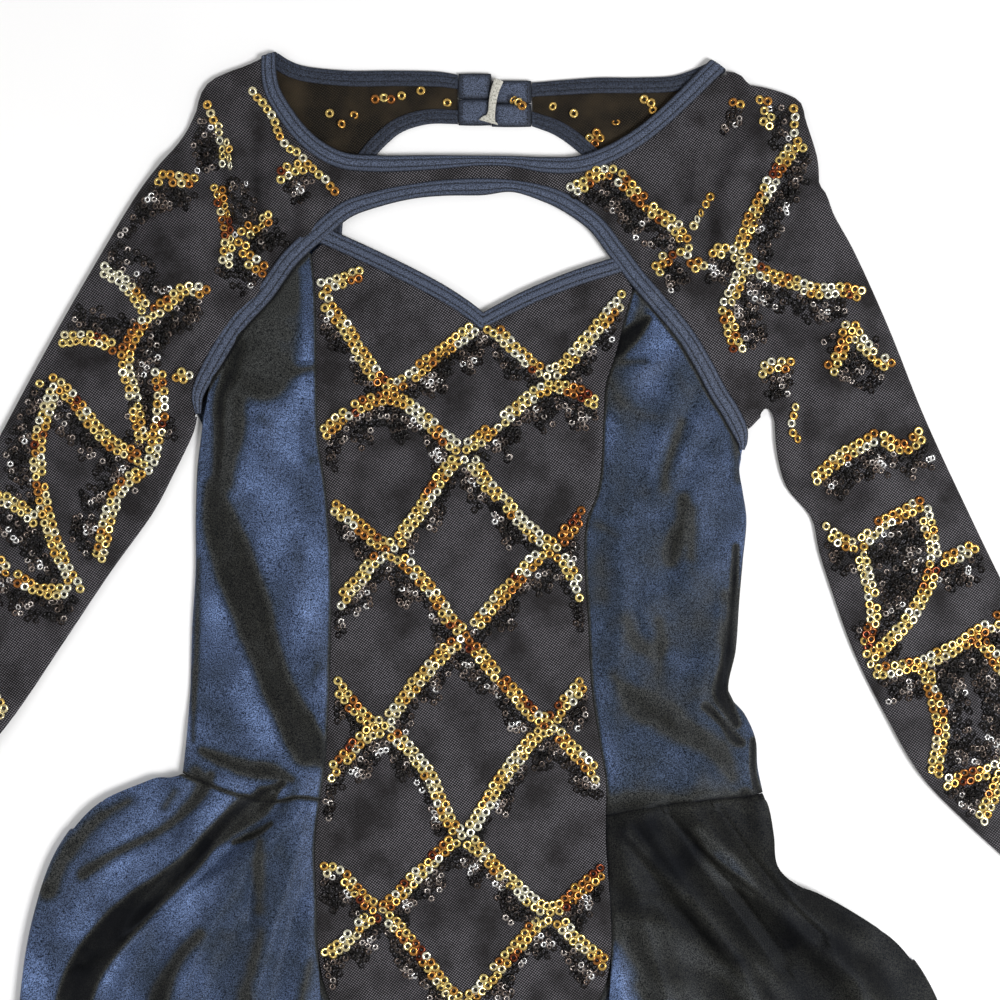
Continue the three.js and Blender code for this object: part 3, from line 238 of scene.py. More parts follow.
# Painted sheen and painted shade of the satin's front: zones where its colour is painted as out of the light,
# so that its olive black ground shows, and where it is painted with the full blue sheen. Columns: the middle of
# each zone with its half width, how soft its edge is, and the sheen there, from none (0) to full (1). Later
# rows lie over earlier.
SHEEN = [
    # left side front
    ([(-119.3, 135.2, 8), (-125, 113.6, 13.6), (-131.8, 92, 18.7), (-136.3, 79.5, 22.7)], 5.1, 0.42),
    ([(-110.8, 130.6, 2.8), (-107.4, 102.2, 3.4), (-104.5, 84.1, 2.3)], 2.8, 0.72),
    ([(-119.3, 72.1, 2.3), (-103.9, 75.5, 1.7)], 3.4, 0.3),
    ([(-148.8, 56.8, 4.5), (-148.8, 39.8, 4.5), (-152.8, 22.7, 3.4), (-154.5, 8, 3.4)], 4, 0.4),
    ([
        (-146.5, 88, 1.1), (-152.2, 72.7, 3.4), (-157.9, 56.8, 3.4), (-158.5, 34.1, 2.8),
        (-160.7, 9.1, 2.3),
    ], 4, 0.13),
    ([(-135.2, 46, 1.7), (-124.4, 39.8, 1.4), (-117, 29.5, 1.4), (-107.4, 22.7, 2.8)], 4, 0.56),
    ([
        (-162.4, 8, 4.5), (-159, -11.4, 9.7), (-147.7, -43.2, 11.9), (-137.5, -75, 10.2),
        (-126.1, -106.8, 8.5), (-115.3, -127.8, 9.7), (-108.5, -140.9, 9.7),
    ], 4.6, 0.26),
    ([(-108.5, -122.7, 1.1), (-103.4, -135.2, 1.7), (-101.1, -148.8, 1.7)], 3.5, 0.2),
    ([(-171.5, -34.1, 1.4), (-172.1, -79.5, 1.7), (-173.8, -113.6, 1.7), (-173.8, -136.3, 1.1)], 1.4, 0.5),
    ([
        (-168.7, -142, 1.7), (-157.9, -146.5, 3.4), (-144.3, -151.7, 4.5), (-127.8, -153.9, 4),
        (-117.6, -157.9, 1.7),
    ], 4, 0.26),
    ([(-116.4, -22.7, 2.8), (-114.7, -34.1, 3.4)], 5.7, 0.66),
    ([(-103.4, -93.7, 1.1), (-107.4, -104.5, 1.7)], 3.4, 0.6),
    ([(-122.7, 45.4, 8), (-119.3, 25.6, 9.1)], 6, 0.9),
    # right side front
    ([
        (79.5, -2.8, 28.4), (85.2, -45.4, 42.6), (95.4, -90.9, 45.4), (107.9, -136.3, 45.4),
        (113.6, -170.4, 34.1),
    ], 20, 0.63),
    ([(113.6, 34.1, 11.4), (122.1, 0, 14.2)], 12, 0.76),
    ([(81.2, 113.6, 2.8), (79.5, 103.4, 3.4)], 3.4, 0.46),
    ([(84.1, 102.8, 1.7), (76.1, 95.4, 4.5), (66.5, 85.2, 4.5)], 2, 0.05),
    ([(65.9, 78.4, 1.7), (82.4, 78.4, 1.1)], 3.4, 0.43),
    ([(63.6, 72.7, 3.4), (63.6, 56.8, 4.5)], 11.6, 0.52),
    ([(67, 57.9, 3.4), (79.5, 48.3, 5.7), (95.4, 48.3, 5.1), (107.9, 54, 4.5)], 15.2, 0.53),
    ([(103.4, 44.3, 1.7), (98.3, 31.2, 2.3), (94.3, 17, 2.3), (93.2, 7.4, 2.3)], 4.6, 0.38),
    ([(100, 72.7, 2.3), (105.6, 65.3, 2.3)], 15.2, 0.64),
    ([(133.5, 34.1, 2.3), (135.2, 11.4, 2.3)], 2.8, 0.5),
    ([(104.5, 0, 3.4), (103.4, -14.2, 3.4), (98.8, -25.6, 4), (97.1, -35.2, 2.3)], 4.6, 0.31),
    ([(109.1, -5.7, 2.3), (107.9, -31.8, 2.3)], 4.6, 0.38),
    ([(58.5, -34.1, 4.5), (57.9, -51.1, 5.7), (60.2, -63.6, 3.4)], 11.6, 0.5),
    ([(54.5, -13.6, 1.7), (66.5, -20.4, 1.7)], 4.6, 0.46),
    ([(72.1, -67, 2.8), (76.1, -79.5, 4.5), (87.5, -86.3, 5.1)], 4.6, 0.43),
    ([(90.3, -69.3, 1.7), (91.4, -84.1, 2.8), (90.9, -96.6, 1.7)], 4.6, 0.36),
    ([(93.2, -100.5, 4.5), (96.6, -117, 4.5)], 15.2, 0.52),
    ([
        (64.8, -100.5, 2.8), (77.2, -115.3, 6.8), (93.2, -124.4, 6.8), (110.2, -134, 6.2),
        (125, -143.7, 5.1), (131.2, -157.3, 2.3),
    ], 5.6, 0.38),
    ([(113.6, -88, 1.7), (117, -107.9, 2.8)], 19.4, 0.64),
    ([(127.8, -52.8, 2.8), (126.1, -79.5, 2.8)], 2.8, 0.5),
    ([(116.4, -117, 1.7), (126.1, -126.1, 1.7), (134, -136.3, 2.3), (136.9, -137.5, 1.7)], 2, 0.12),
    ([
        (134, -26.7, 1.7), (132.3, -60.2, 2.3), (128.9, -93.2, 3.4), (126.1, -109.1, 4.5),
        (134, -126.7, 2.3),
    ], 2, 0.08),
    ([(135.2, -51.1, 0.9), (134, -72.7, 0.9)], 1.1, 0.36),
    ([(143.7, -136.3, 1.7), (143.7, -155.1, 1.7), (147.7, -169.8, 1.7)], 1.3, 0.1),
    ([(139.2, -167.6, 3.4), (146, -173.2, 3.4)], 2.8, 0.15),
    # left skirt
    ([(-125, -198.8, 14.2), (-130.6, -227.2, 25.6), (-135.2, -261.3, 34.1)], 16, 0.68),
    ([(-172.7, -154.5, 3.4), (-167.6, -161.9, 4), (-177.2, -174.9, 2.8)], 4.2, 0.4),
    ([
        (-154.5, -156.2, 2.3), (-157.9, -165.9, 5.1), (-172.7, -182.9, 5.7), (-193.1, -198.8, 7.4),
        (-215.8, -211.3, 8), (-232.9, -221.5, 8),
    ], 5.1, 0.86),
    ([
        (-163.6, -155.6, 1.7), (-170.4, -167.6, 2.3), (-179.5, -177.2, 2.3), (-193.1, -187.4, 1.7),
        (-215.8, -198.8, 2.3), (-236.3, -211.3, 2.8),
    ], 3.4, 0.3),
    ([(-184, -164.7, 1.7), (-189.7, -173.8, 1.7)], 3.4, 0.45),
    ([(-210.2, -170.4, 2.3), (-227.2, -180.6, 3.4), (-244.2, -198.8, 4.5), (-255.6, -221.5, 5.1)], 4.2, 0.4),
    ([(-198.8, -230, 3.4), (-181.8, -230, 6.8), (-167.6, -218.7, 5.7)], 12, 0.96),
    ([
        (-135.2, -164.7, 2.3), (-135.2, -170.4, 8), (-147.7, -178.9, 8), (-157.9, -190.3, 4.5),
        (-165.3, -197.7, 1.7),
    ], 2.5, 0.3),
    ([(-123.3, -159.6, 0.9), (-129.5, -170.4, 1.1), (-135.2, -174.9, 1.1)], 1.7, 0.1),
    ([
        (-122.7, -160.7, 1.1), (-135.2, -165.9, 1.7), (-151.1, -177.2, 2.8), (-163.6, -190.3, 4),
        (-171, -200.5, 5.1), (-187.4, -215.8, 6.8), (-201.6, -227.2, 8.5), (-221.5, -247.1, 9.7),
        (-236.3, -269.8, 10.2), (-246.5, -306.7, 10.2),
    ], 2.5, 0.03),
    ([(-113.6, -160.7, 1.7), (-123.8, -174.9, 2.8), (-137.5, -186.3, 2.3), (-150.5, -192, 1.7)], 2.5, 0.62),
    ([(-129.5, -182.9, 0.9), (-138.6, -189.1, 1.1), (-151.1, -194.3, 0.9)], 1.7, 0.12),
    ([(-135.2, -193.1, 1.7), (-136.3, -210.2, 2.3), (-136.3, -231.2, 2.8)], 4.2, 0.4),
    ([(-169.3, -244.2, 2.3), (-181.8, -259, 3.4), (-193.1, -284, 5.1), (-199.9, -318.1, 5.7)], 4.2, 0.3),
    ([(-135.2, -244.2, 1.7), (-142, -272.6, 3.4), (-146.5, -312.4, 4.5)], 5.1, 0.4),
    ([(-106.8, -261.3, 1.7), (-113.6, -289.7, 2.8), (-115.9, -329.4, 3.4)], 4.2, 0.4),
    # right skirt
    ([(79.5, -204.5, 39.8), (125, -227.2, 62.5), (181.8, -244.2, 62.5), (227.2, -278.3, 62.5)], 16, 0.2),
    ([(79.5, -198.8, 25.6), (113.6, -215.8, 34.1), (147.7, -244.2, 39.8), (181.8, -284, 51.1)], 12, 0.1),
    ([(113, -186.3, 3.4), (120.4, -196, 5.1), (133.5, -209, 5.7), (143.1, -219.8, 3.4)], 3.5, 0.5),
    ([(110.8, -196.5, 0.9), (127.2, -209, 1.1), (147.1, -223.2, 1.1)], 2.4, 0.03),
    ([(117, -206.8, 1.7), (125, -214.7, 2.8), (132.9, -219.2, 1.7)], 3.5, 0.43),
    ([
        (63.6, -192, 1.1), (82.9, -207.9, 1.7), (105.1, -224.4, 1.7), (123.8, -240.3, 2.3),
        (142, -259, 2.3), (164.7, -284, 3.4),
    ], 4.8, 0.29),
    ([(73.3, -188.6, 1.7), (82.4, -198.8, 1.7)], 3.5, 0.32),
    ([(60.2, -190.3, 2.3), (65.3, -198.8, 5.7), (72.7, -214.7, 5.7)], 9.5, 0.24),
    ([
        (67, -241.4, 5.7), (79.5, -247.1, 10.2), (102.2, -254.5, 8.5), (119.3, -261.3, 5.7),
        (136.3, -275.5, 5.7), (153.4, -301, 6.8),
    ], 5.9, 0.43),
    ([(147.1, -222.1, 1.7), (171, -234, 1.7), (199.9, -246.5, 2.3), (227.2, -267, 3.4)], 5.9, 0.25),
    ([(113.6, -178.9, 3.4), (135.2, -186.3, 6.8), (144.8, -204.5, 5.7), (150.5, -218.7, 3.4)], 7.1, 0.24),
    ([(198.8, -275.5, 4.5), (215.8, -289.7, 5.7), (227.2, -312.4, 6.8)], 9.5, 0.35),
    ([(79.5, -275.5, 4.5), (90.9, -295.4, 5.7), (96.6, -318.1, 5.7)], 7.1, 0.35),
]
SHADE_BESIDE = 1.1  # reach of the shade beside the binding and in the seams
SHEEN_PLAIN = 0.81  # painted sheen of cloth that lies flat

# Smaller creases, in the same columns as FOLDS
CREASES = [
    # left side front: slack folds from the underarm to the hip seam
    ([(-150, 62), (-150, 22), (-150, 2), (-138, -34), (-122, -78), (-103, -120)], 26, 13, 2.4),
    ([(-152, 54), (-134, 54), (-104, 60)], 24, 18, 1.8),
    ([(-172, -128), (-148, -142), (-120, -150), (-106, -158)], 7, 9, 1.4),
    ([(-160, 66), (-157, 20), (-158, -6)], 6, 5, 1.4),
    ([(-132, 44), (-118, 30), (-104, 8)], 4, 5, -1.2),
    ([(-128, -152), (-150, -150), (-172, -140)], 4, 6, 1.2),
    ([(-146, 96), (-136, 60), (-134, 20)], 7, 5, 0.6),
    ([(-122, -30), (-112, -70), (-102, -96)], 8, 12, 1.2),
    # right side front
    ([(52, 74), (70, 96), (91, 113)], 6, 6, -1.5),
    ([(84, 112), (70, 78), (64, 50), (62, 14)], 22, 9, 1.8),
    ([(72, -6), (71, -50), (67, -90)], 20, 8, 1.6),
    ([(106, 84), (96, 50), (88, 12)], 12, 7, 1.2),
    ([(110, 57), (102, 36), (94, 15)], 4, 6, -1.4),
    ([(64, -20), (70, -60), (62, -104)], 7, 5, 1.1),
    ([(100, -26), (97, -40), (96, -54)], 3, 6, -1.2),
    ([(74, -60), (78, -70), (82, -82)], 3, 5, -1.2),
    ([(88, -82), (90, -92), (92, -102)], 3, 4, -1.1),
    ([(120, -70), (112, -118), (124, -150)], 4, 6, 1.3),
    ([(66, -108), (84, -126), (104, -142)], 6, 8, -1.5),
    ([(78, -138), (112, -156), (140, -150)], 8, 5, 1.1),
    ([(116, 20), (104, -14), (110, -60)], 12, 8, 1.6),
    ([(134, -32), (129, -70), (126, -108), (134, -136)], 3, 3, -1.1),
    # centre front: ruching under the sweetheart's point, slack at the bust
    ([(-12, 92), (-30, 84), (-56, 68)], 3.5, 5, -1.5),
    ([(-14, 90), (-22, 74), (-28, 60)], 2, 2, -0.8),
    ([(-10, 88), (-9, 72), (-7, 58)], 1.8, 1.8, -0.8),
    ([(-4, 90), (5, 76), (12, 66)], 2, 2, -0.8),
    ([(18, 90), (34, 96), (54, 106)], 3, 4, -1.5),
    ([(6, 82), (22, 62), (44, 50)], 7, 5, 1),
    ([(-84, 12), (-60, 6), (-34, 10)], 3, 3, 0.5),
    ([(-84, 18), (-58, 13), (-40, 17)], 2.5, 2.5, -0.4),
    ([(-40, -96), (-62, -140), (-66, -158)], 5, 7, 0.8),
    ([(4, -20), (20, -60)], 6, 8, 0.7),
    ([(20, -196), (10, -222)], 5, 7, 0.8),
    # left yoke and sleeve
    ([(-138, 210), (-141, 180), (-136, 156)], 3, 4, -2),
    ([(-160, 222), (-158, 180), (-157, 158)], 3.5, 3, -2),
    ([(-150, 216), (-149, 176), (-148, 140)], 4, 4, 2.2),
    ([(-122, 205), (-126, 176), (-136, 142)], 4, 6, 1.6),
    ([(-108, 172), (-112, 148), (-124, 134)], 5, 4, 1.6),
    ([(-192, 196), (-176, 170), (-170, 138)], 5, 7, 1.8),
    ([(-178, 214), (-170, 196), (-166, 180)], 3, 4, -1.5),
    ([(-118, 176), (-116, 160)], 3, 3, -1.1),
    ([(-188, 150), (-168, 146)], 3, 4, 1),
    ([(-172, 84), (-150, 112), (-128, 126)], 3, 4, 1.2),
    ([(-196, 60), (-178, 86), (-160, 100)], 4, 3, -1.2),
    ([(-200, 36), (-192, 64)], 4, 5, 1.3),
    ([(-236, 90), (-214, 60), (-206, 20)], 6, 5, 1.2),
    ([(-262, 40), (-238, 20), (-226, -20)], 5, 7, 1.2),
    ([(-290, -10), (-270, -60)], 6, 5, 1.3),
    ([(-330, -70), (-314, -130)], 5, 6, 1.2),
    # right yoke and sleeve
    ([(146, 213), (136, 205), (124, 190), (120, 168), (120, 148)], 3, 6, -2.4),
    ([(112, 196), (110, 170), (108, 146)], 6, 3, 1.8),
    ([(136, 222), (150, 190), (152, 160)], 8, 5, 1.8),
    ([(96, 176), (104, 160), (116, 150)], 3, 5, 1.2),
    ([(160, 206), (160, 184), (168, 160)], 4, 4, -1.5),
    ([(158, 150), (166, 176)], 5, 5, 1),
    ([(136, 128), (158, 116), (176, 122)], 5, 3, 1),
    ([(142, 100), (156, 84)], 4, 3, -1),
    ([(171, 64), (172, 40), (172, 10)], 3, 4, -1.6),
    ([(180, 60), (178, 20)], 4, 4, 1),
    ([(206, 110), (190, 90), (166, 86)], 4, 5, 1),
    ([(214, 20), (200, -30), (206, -70)], 5, 6, 1.1),
    ([(240, -20), (228, -70)], 5, 5, 1.2),
    ([(286, -90), (268, -150)], 5, 6, 1.1),
    # left skirt: sharp valleys between the big folds
    ([(-128, -176), (-146, -190), (-172, -214), (-204, -238), (-236, -262)], 3.5, 9, -4),
    ([(-170, -166), (-182, -184), (-190, -200)], 4, 6, -2.2),
    ([(-141, -205), (-142, -228), (-141, -240)], 3, 3, -1.8),
    ([(-112, -172), (-126, -188), (-150, -206), (-178, -222)], 3, 5, 2),
    ([(-190, -252), (-214, -300), (-226, -384)], 5, 8, -2.5),
    # right skirt
    ([(96, -180), (112, -200), (134, -226), (160, -262)], 4, 8, -3.4),
    ([(124, -176), (140, -198), (160, -222), (184, -246)], 3, 7, -3.2),
    ([(72, -186), (84, -200), (104, -222)], 3, 4, 1.8),
    ([(62, -222), (96, -232), (130, -262)], 6, 8, -2.2),
    ([(150, -270), (172, -320), (180, -386)], 5, 8, -2.5),
]

# Gold sequin lines of the centre front, row by row; one row's low points touch the
# next row's high points. Columns: x, y
GOLD_ROWS = [
    [(-104, 118), (-90, 101), (-62, 65), (-36, 82), (-8, 99), (8, 86), (28, 72), (50, 92), (74, 120)],
    [(-104, 34), (-84, 51), (-62, 58), (-48, 51), (-22, 30), (2, 46), (27, 64), (42, 62), (57, 53)],
    [(-97, -2), (-86, -10), (-62, -26), (-49, -11), (-21, 25), (-6, 8), (30, -25), (42, -14), (54, 0)],
    [(-96, -62), (-84, -50), (-64, -30), (-41, -49), (-21, -74), (2, -53), (29, -28), (42, -44), (51, -66)],
    [(-97, -97), (-90, -108), (-69, -127), (-46, -102), (-22, -81), (0, -101), (26, -125), (38, -114),
     (50, -100)],
    [(-103, -164), (-90, -148), (-68, -130), (-44, -150), (-22, -188), (4, -154), (27, -130),
     (42, -142), (58, -159)],
    [(-103, -208), (-90, -212), (-69, -231), (-44, -210), (-22, -192), (2, -212), (28, -232),
     (46, -220), (62, -207)],
    [(-104, -262), (-90, -252), (-69, -235), (-46, -256), (-22, -283), (2, -262), (28, -236),
     (44, -250), (62, -264)],
    [(-90, -306), (-69, -326), (-46, -308), (-22, -287), (2, -308), (28, -328)],
]

GOLD_EXTRA = [[(-104, 120), (-92, 124), (-78, 129)]]

# Gold lines of the sleeves: the points of a line, rows of sequins side by side, and on
# which side of it the black sequins lie (-1 is its right side, 0 has none)
GOLD_LEFT = [
    ([(-168, 229), (-165, 222), (-162, 215), (-158, 210)], 1, -1),
    ([(-158, 210), (-156, 199), (-155, 188)], 2, -1),
    ([(-199, 183), (-186, 182), (-173, 181)], 2, -1),
    ([(-161, 179), (-158, 169), (-155, 156), (-154, 147), (-156, 133)], 2, 1),
    ([(-129, 161), (-140, 155), (-145, 150), (-146, 143)], 2, 1),
    ([(-145, 141), (-142, 136), (-133, 129), (-137, 122)], 2, -1),
    ([(-141, 233), (-133, 223), (-128, 215), (-123, 203), (-112, 195), (-104, 186), (-97, 179),
      (-91, 173)], 1, 0),
    ([(-126, 183), (-118, 188), (-109, 190)], 2, -1),
    ([(-199, 106), (-191, 110), (-177, 120), (-166, 117)], 2, -1),
    ([(-194, 74), (-192, 54), (-198, 20)], 2, -1),
    ([(-184, 72), (-176, 69)], 2, 0),
    ([(-200, 182), (-216, 170), (-228, 150)], 2, 1),
    ([(-199, 106), (-214, 124), (-232, 134)], 2, -1),
    ([(-199, 106), (-212, 84), (-206, 50), (-202, 30)], 2, 1),
    ([(-212, 84), (-234, 92), (-254, 90)], 2, -1),
    ([(-198, 20), (-222, 34), (-252, 66), (-266, 68)], 2, 1),
    ([(-198, 20), (-216, 6), (-228, -34)], 2, -1),
    ([(-252, 66), (-262, 30), (-254, -20), (-240, -52)], 2, -1),
    ([(-254, -20), (-280, 0), (-302, 2)], 2, 1),
    ([(-240, -52), (-264, -50), (-292, -30), (-314, -20)], 2, 1),
    ([(-292, -30), (-300, -74), (-288, -110), (-280, -124)], 2, -1),
    ([(-288, -110), (-314, -92), (-344, -76)], 2, 1),
    ([(-314, -92), (-330, -128), (-324, -160), (-316, -168)], 2, -1),
    ([(-324, -160), (-350, -142), (-380, -136)], 2, 1),
]
GOLD_RIGHT = [
    ([(38, 174), (47, 179), (56, 185), (65, 186)], 2, -1),
    ([(65, 186), (76, 175), (89, 162), (99, 156), (105, 146), (104, 138)], 2, -1),
    ([(120, 173), (113, 161), (108, 152)], 1, 0),
    ([(89, 128), (92, 136), (100, 137)], 2, -1),
    ([(110, 136), (114, 131)], 2, 0),
    ([(131, 226), (139, 223)], 1, -1),
    ([(146, 229), (156, 228)], 2, 0),
    ([(152, 222), (151, 211)], 2, 0),
    ([(169, 223), (170, 206), (176, 199)], 2, -1),
    ([(168, 203), (157, 186), (149, 172), (140, 153), (135, 141)], 2, 1),
    ([(120, 142), (135, 139), (149, 129), (165, 124), (177, 119), (198, 119)], 2, -1),
    ([(138, 133), (133, 119), (128, 109), (132, 95), (136, 84)], 2, 1),
    ([(147, 73), (157, 77), (166, 76)], 2, -1),
    ([(187, 73), (193, 84), (198, 100)], 2, -1),
    ([(168, 54), (166, 40), (171, 32)], 1, 0),
    ([(178, 11), (188, 20), (201, 29), (214, 36)], 2, -1),
    ([(182, -14), (192, -22), (202, -26), (216, -14), (240, -2)], 2, -1),
    ([(198, 119), (206, 116)], 2, 0),
    ([(198, 100), (210, 84), (222, 76)], 2, -1),
    ([(214, 36), (230, 30), (240, 38)], 2, -1),
    ([(204, -28), (212, -62), (206, -88)], 2, 1),
    ([(240, -2), (246, -36), (230, -70), (208, -92)], 2, -1),
    ([(246, -36), (262, -30), (272, -24)], 2, -1),
    ([(212, -98), (240, -92), (270, -76), (292, -62)], 2, -1),
    ([(240, -92), (250, -128), (246, -156)], 2, 1),
    ([(270, -76), (292, -110), (286, -150), (272, -182)], 2, -1),
    ([(292, -110), (312, -104)], 2, -1),
    ([(252, -160), (280, -152), (310, -136), (330, -128)], 2, -1),
]

# Glints of sequins seen from the inside of the back yoke. Columns: x, y
GLINTS = [
    (-71, 228), (-66, 229), (-62, 228), (-56, 230), (-83, 219), (-90, 214), (-97, 220), (-45, 233), (-30, 226),
    (51, 206), (54, 203), (57, 206), (55, 209), (82, 228), (86, 226), (87, 222), (42, 220), (30, 224),
    (66, 215),
]
CURL = [(7.4, 227.2), (10.4, 226.0), (12.6, 223.8)]  # sequins caught on the tab

TABS = {
    "tab_left_upper": (-23.6, -5.1, 228.2, 242.4),
    "tab_left_lower": (-23.6, -5.1, 213.2, 227.8),
    "tab_right_upper": (-4.7, 17.8, 225.7, 238.4),
    "tab_right_lower": (-4.7, 17.8, 212.4, 225.3),
}
TAB_SPREAD = 0.6  # the tabs run on over the ends of the bindings
# Along the clasp, from its top to its foot. Columns: x, y, width
CLASP_PATH = [
    (-0.6, 238.4, 5.4), (-2.8, 232.6, 4.9), (-4.2, 226, 4.4), (-4.8, 220.4, 4.2), (-5.4, 217.6, 5.4),
    (-6.2, 215.8, 9), (-6.6, 214.4, 11.5),
]
CLASP = {"thick": 1.8, "gap": 0.3}


def linear(hexcode):
    """A linear colour from an sRGB hex value."""
    parts = [int(hexcode[i : i + 2], 16) / 255 for i in (1, 3, 5)]
    return tuple(c / 12.92 if c <= 0.04045 else ((c + 0.055) / 1.055) ** 2.4 for c in parts)


# Plan geometry


def through(rows, steps=16):
    """A smooth line through the rows of a table, as closely spaced points."""
    p = np.array([tuple(row) + (0.0,) * (3 - len(row)) for row in rows], float)
    p = np.vstack([2 * p[0] - p[1], p, 2 * p[-1] - p[-2]])
    t = np.linspace(0, 1, steps + 1)[1:, None]
    points = [p[1:2]]
    for a, b, c, d in zip(p, p[1:], p[2:], p[3:]):
        ab, bc, cd = (math.dist(u, v) ** 0.5 for u, v in ((a, b), (b, c), (c, d)))
        leave = ((b - a) / ab - (c - a) / (ab + bc) + (c - b) / bc) * bc
        arrive = ((c - b) / bc - (d - b) / (bc + cd) + (d - c) / cd) * bc
        bend = -3 * b + 3 * c - 2 * leave - arrive
        points.append(b + t * leave + t**2 * bend + t**3 * (2 * b - 2 * c + leave + arrive))
    return np.vstack(points)


class Line:
    """A smooth line through a table's rows, measured along its length."""

    def __init__(self, rows):
        self.points = through(rows)
        reach = np.concatenate(([0.0], np.cumsum(np.linalg.norm(np.diff(self.points, axis=0), axis=1))))
        self.length = reach[-1]
        self.shares = reach / self.length
        self.way = np.gradient(self.points[:, :2], self.shares, axis=0)

    def at(self, shares):
        """The points at these shares of the length, and the way the line runs there."""
        point = np.column_stack([np.interp(shares, self.shares, c) for c in self.points.T])
        way = np.column_stack([np.interp(shares, self.shares, c) for c in self.way.T])
        return point, way / np.linalg.norm(way, axis=1, keepdims=True)

    def share(self, place):
        """A share as it is, or the share that lies nearest to a place."""
        if isinstance(place, (int, float)):
            return place
        shares = np.linspace(0, 1, 601)
        point, _ = self.at(shares)
        return shares[np.argmin(np.hypot(point[:, 0] - place[0], point[:, 1] - place[1]))]


def stretch(rows, start, end, cells, side=0, gap=0.0):
    """A stretch of a line in equal steps, moved to the left (1) or right (-1) edge of its width."""
    line = Line(rows)
    point, way = line.at(np.linspace(line.share(start), line.share(end), cells + 1))
    out = side * (point[:, 2:] / 2 + gap)
    return point[:, :2] + np.column_stack((-way[:, 1], way[:, 0])) * out


def straight(a, b, cells):
    """Equal steps from one point to another."""
    return np.linspace(a, b, cells + 1)


def finer(points, times):
    """A chain of straight stretches with each one cut into so many."""
    points = np.asarray(points, float)
    return np.vstack([points[:1]] + [straight(a, b, times)[1:] for a, b in zip(points, points[1:])])


def join(*edges):
    """Edges in a chain, each without the point that it shares with the one before."""
    return np.vstack([edges[0]] + [edge[1:] for edge in edges[1:]])


def patch(top, bottom, left, right):
    """Rows of points between four edges; top and bottom run across, left and right run down."""
    v, u = np.meshgrid(np.linspace(0, 1, len(left)), np.linspace(0, 1, len(top)), indexing="ij")
    v, u = v[..., None], u[..., None]
    sides = (1 - v) * top[None] + v * bottom[None] + (1 - u) * left[:, None] + u * right[:, None]
    upper = (1 - v) * ((1 - u) * top[0] + u * top[-1])
    return sides - upper - v * ((1 - u) * bottom[0] + u * bottom[-1])


def ruled(edge, opposite, cells):
    """Rows of points in equal steps from one edge to the opposite one."""
    return np.linspace(edge, opposite, cells + 1, axis=1)


def ramp(span, y):
    """A smooth change from 0 to 1 over a span, which may run either way."""
    share = np.clip((y - span[0]) / (np.asarray(span[1]) - span[0]), 0, 1)
    return share * share * (3 - 2 * share)


def from_line(line, x, y):
    """How far each place is from a chain of straight stretches, left of it being positive,
    and at what share of the chain it is nearest."""
    away = np.full(np.shape(x), np.inf)
    share = np.zeros(np.shape(x))
    sign = np.ones(np.shape(x))
    for i, ((ax, ay), (bx, by)) in enumerate(zip(line, line[1:])):
        dx, dy = bx - ax, by - ay
        t = np.clip(((x - ax) * dx + (y - ay) * dy) / (dx * dx + dy * dy), 0, 1)
        distance = np.hypot(x - ax - t * dx, y - ay - t * dy)
        nearer = distance < away
        away = np.where(nearer, distance, away)
        share = np.where(nearer, (i + t) / (len(line) - 1), share)
        sign = np.where(nearer, np.sign(dx * (y - ay) - dy * (x - ax)), sign)
    return away * np.where(sign == 0, 1, sign), share


def folds_height(folds, x, y):
    """Height that a table of folds adds at each place; each is tallest past its middle."""
    height = np.zeros(np.shape(x))
    for line, left, right, rise in folds:
        away, share = from_line(line, x, y)
        tall = 0.3 + 0.7 * np.sin(np.pi * (0.1 + 0.75 * share))
        height += rise * tall * np.exp(-((away / np.where(away > 0, left, right)) ** 2))
    return height


SEAM_LINES = [
    [tuple(p[:2]) for p in through(rows, 4)] for rows in (PANEL_LEFT, PANEL_RIGHT, HIP_LEFT, HIP_RIGHT)
]
SHADE = {"binding": 0.92, "seam": 0.8}  # how dark the shade is beside a binding, and in a seam


def sheen_at(x, y):
    """How much painted blue sheen the satin of the front shows at each place; where it is low, it is painted
    shade.
    """
    # painted sheen: slow waves raise and lower the plain level a little
    sheen = SHEEN_PLAIN + 0.07 * np.sin(x * 0.13 + 1.3 * np.sin(y * 0.05)) * np.sin(y * 0.045 + 0.9)
    for rows, soft, there in SHEEN:
        line = through(rows, 5)
        away, share = from_line([tuple(p[:2]) for p in line], x, y)
        half = np.interp(share, np.linspace(0, 1, len(line)), line[:, 2])
        cover = ramp((half + soft, half - soft), np.abs(away))
        sheen = sheen + (there - sheen) * cover
    # the cloth is in the shade close to the binding and where it dips into a seam
    line = np.array(ARCH)
    away, share = from_line([tuple(p[:2]) for p in line], x, y)
    beside = np.abs(away) - np.interp(share, np.linspace(0, 1, len(line)), line[:, 2]) / 2
    sheen = sheen * (1 - SHADE["binding"] * np.exp(-((beside / SHADE_BESIDE) ** 2)))
    for line in SEAM_LINES:
        away, _ = from_line(line, x, y)
        sheen = sheen * (1 - SHADE["seam"] * np.exp(-((away / SHADE_BESIDE) ** 2)))
    return sheen


SEAM_DIP = {"deep": 0.9, "wide": 1.5}
SETTLE = 0.5  # how softly a crease is kept off the layer below it


def front_height(x, y):
    """Height of the middle of the front layer."""
    x, y = np.asarray(x, float), np.asarray(y, float)
    sizes = bpy.context.scene.biketard_cloth
    height = FRONT_LEVEL + (HIP_LEVEL - FRONT_LEVEL) * ramp(HIP_RISE, y)
    height = height + folds_height(FOLDS, x, y) + sizes.crease * folds_height(CREASES, x, y)
    for line in SEAM_LINES:
        away, _ = from_line(line, x, y)
        height = height - SEAM_DIP["deep"] * np.exp(-((away / SEAM_DIP["wide"]) ** 2))
    # creases stay clear of the layers underneath
    low = CLEAR_OF_BACK + (CLEAR_OF_LEG - CLEAR_OF_BACK) * ramp(HIP_RISE, y)
    return low + SETTLE * np.logaddexp(0, (height - low) / SETTLE)


